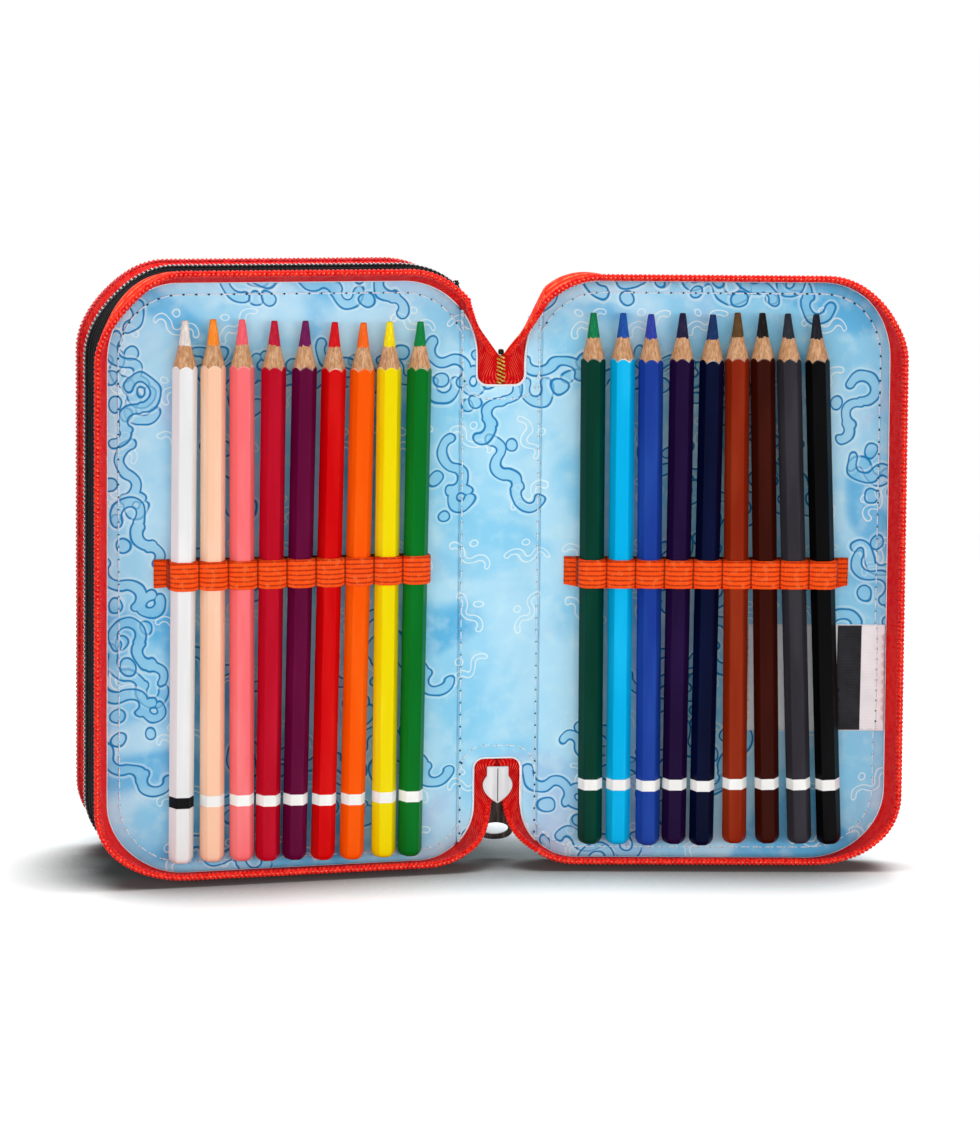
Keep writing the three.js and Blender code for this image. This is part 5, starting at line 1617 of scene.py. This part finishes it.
# %% [markdown]
# ## Sewn label
# A white satin label is caught in the right tray's outer seam, and lies on the lining behind the pencils. It
# has a black woven patch at one end, left plain here, and a line of stitches along its seam.

# %% Label
LABEL_WIDTH, LABEL_HEIGHT, LABEL_BOTTOM = 45 * MM, 35.6 * MM, 43.2 * MM
PATCH_WIDTH, PATCH_FROM_EDGE = 7.9 * MM, 7.8 * MM
LABEL_RIGHT = LINING_WIDTH - SEWN_GAP


def slip(name, right, width, low, high, depth, thick, cloth):
    """A thin slip of satin that ripples a little."""
    left = right - width
    outline = np.array([(left, low), (right, low), (right, high), (left, high)])
    def face(places, away):
        return depth + 0.05 * MM * np.sin(places[:, 0] / (5 * MM)) * np.sin(places[:, 1] / (7 * MM))
    front, start = lambda places, away: face(places, away) + thick, np.array([left, low])
    return panel(name, RIGHT, outline, front, face, cloth, lambda p: p - start, insets=(0.2,), spacing=1.5)


label_top, patch_right = LABEL_BOTTOM + LABEL_HEIGHT, LABEL_RIGHT - PATCH_FROM_EDGE
SLIP_DEPTH, SLIP_THICK, PATCH_DEPTH, PATCH_THICK = 0.2 * MM, 0.18 * MM, 0.42 * MM, 0.14 * MM
low, high = LABEL_BOTTOM, label_top
slip_cloth = slip("label_slip", LABEL_RIGHT, LABEL_WIDTH, low, high, SLIP_DEPTH, SLIP_THICK, LABEL_CLOTH)
seat(slip_cloth, "front_cover", "label", "label")
low, high = LABEL_BOTTOM + SEWN_GAP, label_top - SEWN_GAP
patch = slip("label_patch_weave", patch_right, PATCH_WIDTH, low, high, PATCH_DEPTH, PATCH_THICK, PATCH_CLOTH)
seat(patch, "front_cover", "patch", "label_patch")
print("label made")

# %% [markdown]
# ## Sliders, pulls and end stop
# Sliders and pulls are die-cast zinc. Each is drawn as an outline with real thickness, and a bevel rounds its
# edges as tumbling does. The slider has two shield-shaped plates, a wedge between them and a bridge for its
# pull.

# %% Cast parts
def curve2(*ends, count=8):
    """A quadratic curve between three points."""
    a, b, c = (np.array(e, float) for e in ends)
    s = np.linspace(0, 1, count, endpoint=False)[:, None]
    return (1 - s) ** 2 * a + 2 * s * (1 - s) * b + s**2 * c


def cast(name, parts, place, finish_of, width):
    """Joins closed outlines of real thickness into one bevelled casting. A part may have holes."""
    shell = bmesh.new()
    for outline, holes, low, high in parts:
        loops = [np.asarray(loop, float) * MM for loop in [outline] + holes]
        flat = np.vstack(loops)
        links, base = [], 0
        for loop in loops:
            links += [(base + i, base + (i + 1) % len(loop)) for i in range(len(loop))]
            base += len(loop)
        found = delaunay_2d_cdt([Vector(p) for p in flat], links, [], 1, 1e-9)
        ground = [tuple(p) for p in found[0]]
        keep = found[2]
        if holes:
            middles = [np.mean([ground[i] for i in face], axis=0)[None] for face in keep]
            within = [[from_edge(middle, loop)[1][0] for loop in loops] for middle in middles]
            keep = [face for face, (inside, *cut) in zip(keep, within) if inside and not any(cut)]
        layers = [[shell.verts.new(place(x, y, depth * MM)) for x, y in ground] for depth in (low, high)]
        for face in keep:
            shell.faces.new([layers[0][i] for i in face][::-1])
            shell.faces.new([layers[1][i] for i in face])
        whence = {source: i for i, sources in enumerate(found[3]) for source in sources}
        for i, j in links:
            a, b = whence[i], whence[j]
            shell.faces.new([layers[0][a], layers[0][b], layers[1][b], layers[1][a]])
    bmesh.ops.recalc_face_normals(shell, faces=shell.faces)
    bmesh.ops.dissolve_limit(shell, angle_limit=0.02, verts=shell.verts, edges=shell.edges)
    mesh = bpy.data.meshes.new(name)
    shell.to_mesh(mesh)
    shell.free()
    mesh.materials.append(finish_of)
    made = in_scene(name, mesh)
    soften = made.modifiers.new("tumbled_edges", "BEVEL")
    soften.width, soften.segments = width, 3
    soften.limit_method, soften.angle_limit = "ANGLE", math.radians(40)
    return finished(made)


def slider_parts():
    """Outlines in x and y with the closed end at the origin, and their depths, in millimetres."""
    end, half, straight, bulb, length = 3.55, 4.9, 3.2, 6.2, 12.4
    flare = curve2((-end, -straight), (-half, -(straight + bulb) / 2), (-half, -bulb))
    point = curve2((-half, -bulb), (-half, -(bulb + length) / 2), (0, -length))
    left = np.vstack([[(-end, 0)], flare, point])
    shield = np.vstack([left, [(0, -length)], (left * [-1, 1])[::-1]])
    inner, outer, plate, clear, bar = -0.2, 2.6, 1.1, 2.5, 1.1
    wedge = np.array([(0, -6.2), (-1.2, -8.7), (0, -11.2), (1.2, -8.7)])
    box = lambda top, foot: np.array([(-0.75, -foot), (0.75, -foot), (0.75, -top), (-0.75, -top)])
    crown = outer + plate + clear
    return [
        (shield, [], inner - plate, inner),
        (shield, [], outer, outer + plate),
        (wedge, [], inner - 0.5, outer + 0.5),
        (box(1.6, 2.7), [], outer + 0.55, crown + bar),
        (box(8.1, 9.2), [], outer + 0.55, crown + bar),
        (box(1.6, 9.2), [], crown, crown + bar),
    ]


def pull_parts():
    """The pull's outline with its slot and oval hole, hanging from its pin at the origin."""
    top, neck, half, low = 0.7, 2.2, 6.0, 21.9
    turn_up = -low + 3.7
    arm = curve2((-neck, -6.3), (-neck, -low / 2), (-half, turn_up))
    left = np.vstack([[(-neck, top)], arm, curve2((-half, turn_up), (-half, -low), (0, -low))])
    outline = np.vstack([left, [(0, -low)], (left * [-1, 1])[::-1]])
    slot = np.array([(-1.4, -0.7), (-1.4, -7.0), (1.4, -7.0), (1.4, -0.7)])
    turns = np.linspace(0, 2 * math.pi, 28, endpoint=False)
    hole = np.column_stack([4.4 * np.cos(turns), turn_up + 2.0 * np.sin(turns)])
    return [(outline, [slot, hole], -0.7, 0.7)]


stop_foot = LINING_HEIGHT - NOTCH + CHAIN_LENGTH + SEWN_GAP
clamp = np.array([(-0.75, 0), (0.75, 0), (0.9, 0.7), (0.75, 1.7), (-0.75, 1.7), (-0.9, 0.7)])
stand = lambda x, y, depth: tuple(SPINE.at(SPINE_WIDTH / 2 + x, -CHAIN_DEPTH - depth, stop_foot + y))
stop = cast("zip_end_stop_clamp", [(clamp, [], -1.1, 1.1)], stand, STOP_METAL, 0.35 * MM)
seat(stop, "front_spine", "stop", "front_zip_stop")

# A slider's outer side faces away from its spine's inside, and a closed zip's slider hangs upside down
PIN_DEPTH, PIN_DROP = 4.95, 4.1
# A thin dark strip along the middle of each slider's plate is painted shade, the shade of its centre crease
CREASE_SHADE_STRIP = np.array([(-0.13, -11.6), (0.13, -11.6), (0.13, -0.5), (-0.13, -0.5)])
SHUT_AT = LINING_HEIGHT - NOTCH + SLIDER_LENGTH + 2 * SEWN_GAP
for name, (side, width, _) in spines.items():
    way, top = (1, SLIDER_AT) if name == "front" else (-1, SHUT_AT)
    slide = lambda x, y, depth: tuple(side.at(width / 2 + way * x, -depth, top + y))
    hang = lambda x, y, depth: slide(x, y - PIN_DROP * MM, depth + PIN_DEPTH * MM)
    slider = cast(name + "_cast_slider", slider_parts(), slide, SLIDER_METAL, 0.28 * MM)
    seat(slider, name + "_slider", "slider", name + "_slider")
    crease_shade = cast(name + "_slider_parting_line", [(CREASE_SHADE_STRIP, [], -1.42, -1.2)], slide, PULL_METAL, 0.02 * MM)
    seat(crease_shade, name + "_slider", "slider")
    pull = cast(name + "_cast_pull", pull_parts(), hang, PULL_METAL, 0.3 * MM)
    seat(pull, name + "_pull", "pull", name + "_pull")
    print(slider.name, len(slider.data.polygons), "faces,", pull.name, len(pull.data.polygons), "faces")

# %% [markdown]
# ## Seams
# Small things make sewn work look real: a pale cord that binds the linings' cut edges, the stitches that hold
# them, and the holes that the needle left. Stitches are about 4 mm apart and follow each tray's rim, each
# notch and both folds. The row tree sets them, so a seam is only a path and a distance.

# %% Paths of the seams
STITCH_PITCH, RIM_PITCH = 3.96 * MM, 3.2 * MM
BINDING_RADIUS, BINDING_DEPTH, CORD_RADIUS = 0.33 * MM, -0.28 * MM, 0.95 * MM
TRAY_INSET, NOTCH_INSET, RIM_INSET, LABEL_INSET = 3.5 * MM, 3.9 * MM, 5.2 * MM, 2.6 * MM


def sew(name, path, out, body, slot, thread, pitch=STITCH_PITCH, holes=True):
    """Stitches along a path, and the needle holes between them."""
    row = follow(name + "_stitches", path, out, out, ROW_TREE, thread, Spacing=pitch, Piece=STITCH)
    seat(row, body, slot)
    if holes:
        ahead = (path[1] - path[0]) / np.linalg.norm(path[1] - path[0])
        path = np.vstack([[path[0] + ahead * pitch / 2], path[1:]])
        rows = dict(Spacing=pitch, Piece=HOLE)
        dots = follow(name + "_needle_holes", path, out, out, ROW_TREE, NEEDLE_HOLE, **rows)
        seat(dots, body, slot)


def bind(name, path, side, body):
    """A pale cord along a lining's cut edge."""
    seat(tube(name, path, BINDING_RADIUS, [BINDING], around=side.out), body, "sky_lining")


for name, side, body in (("left_tray", LEFT, "stack"), ("right_tray", RIGHT, "front_cover")):
    sew(name, tray_path(side, -TRAY_INSET, 0.1 * MM), side.out, body, "sky_lining", SKY_THREAD)
    bind(name + "_binding", tray_path(side, 0.3 * MM, BINDING_DEPTH, SEWN_GAP), side, body)
for name, u in (("left", 0.85 * MM), ("right", SPINE_WIDTH - 0.9 * MM)):
    w = np.linspace(foot_of(True) + 1.0 * MM, LINING_HEIGHT - foot_of(False) - 1.0 * MM, 60)
    sew(name + "_fold", SPINE.at(u, 0.08 * MM, w), SPINE.out, "front_spine", "sky_lining", SKY_THREAD)
for name, lower in (("top", False), ("bottom", True)):
    line = notch_edge(SPINE_WIDTH, SEWN_GAP, lower, -NOTCH_INSET)[9:27]
    line = evenly(np.column_stack([line, np.zeros(len(line))]), 60)
    path = SPINE.at(line[:, 0], 0.1 * MM, line[:, 1])
    sew(name + "_notch", path, SPINE.out, "front_spine", "sky_lining", SKY_THREAD)
    edge = notch_edge(SPINE_WIDTH, SEWN_GAP, lower, 0.25 * MM)
    bind(name + "_notch_binding", SPINE.at(edge[:, 0], BINDING_DEPTH, edge[:, 1]), SPINE, "front_spine")

heights = np.linspace(LABEL_BOTTOM + 1.5 * MM, label_top - 1.2 * MM, 12)
label_seam = RIGHT.at(LABEL_RIGHT - LABEL_INSET, PATCH_DEPTH, heights)
sew("label", label_seam, RIGHT.out, "front_cover", "label", SKY_THREAD, pitch=3.4 * MM)
print("seams sewn")

# %% Cover seams and corded rims
covers = {"front_cover": (RIGHT, -PANEL_FACE - COVER), "back_cover": (LEFT, -COVER_FRONT - COVER)}
for name, (side, back) in covers.items():
    path = tray_path(side, -RIM_INSET, back - 0.02 * MM, 3 * MM)
    thread = spun(name + "_blue_sewing_thread", "#2A5FA8", "#5E8FD0")
    sew(name + "_rim", path, -side.out, name, "cover_fabric", thread, pitch=RIM_PITCH, holes=False)
    path = tray_path(side, -0.9 * MM, back + 1.1 * MM, 0.8 * MM)
    cord = tube(name + "_rim_cord", path, CORD_RADIUS, [COVER_CLOTH], sides=12, around=side.out)
    seat(cord, name, "cover_fabric")
print("covers finished")
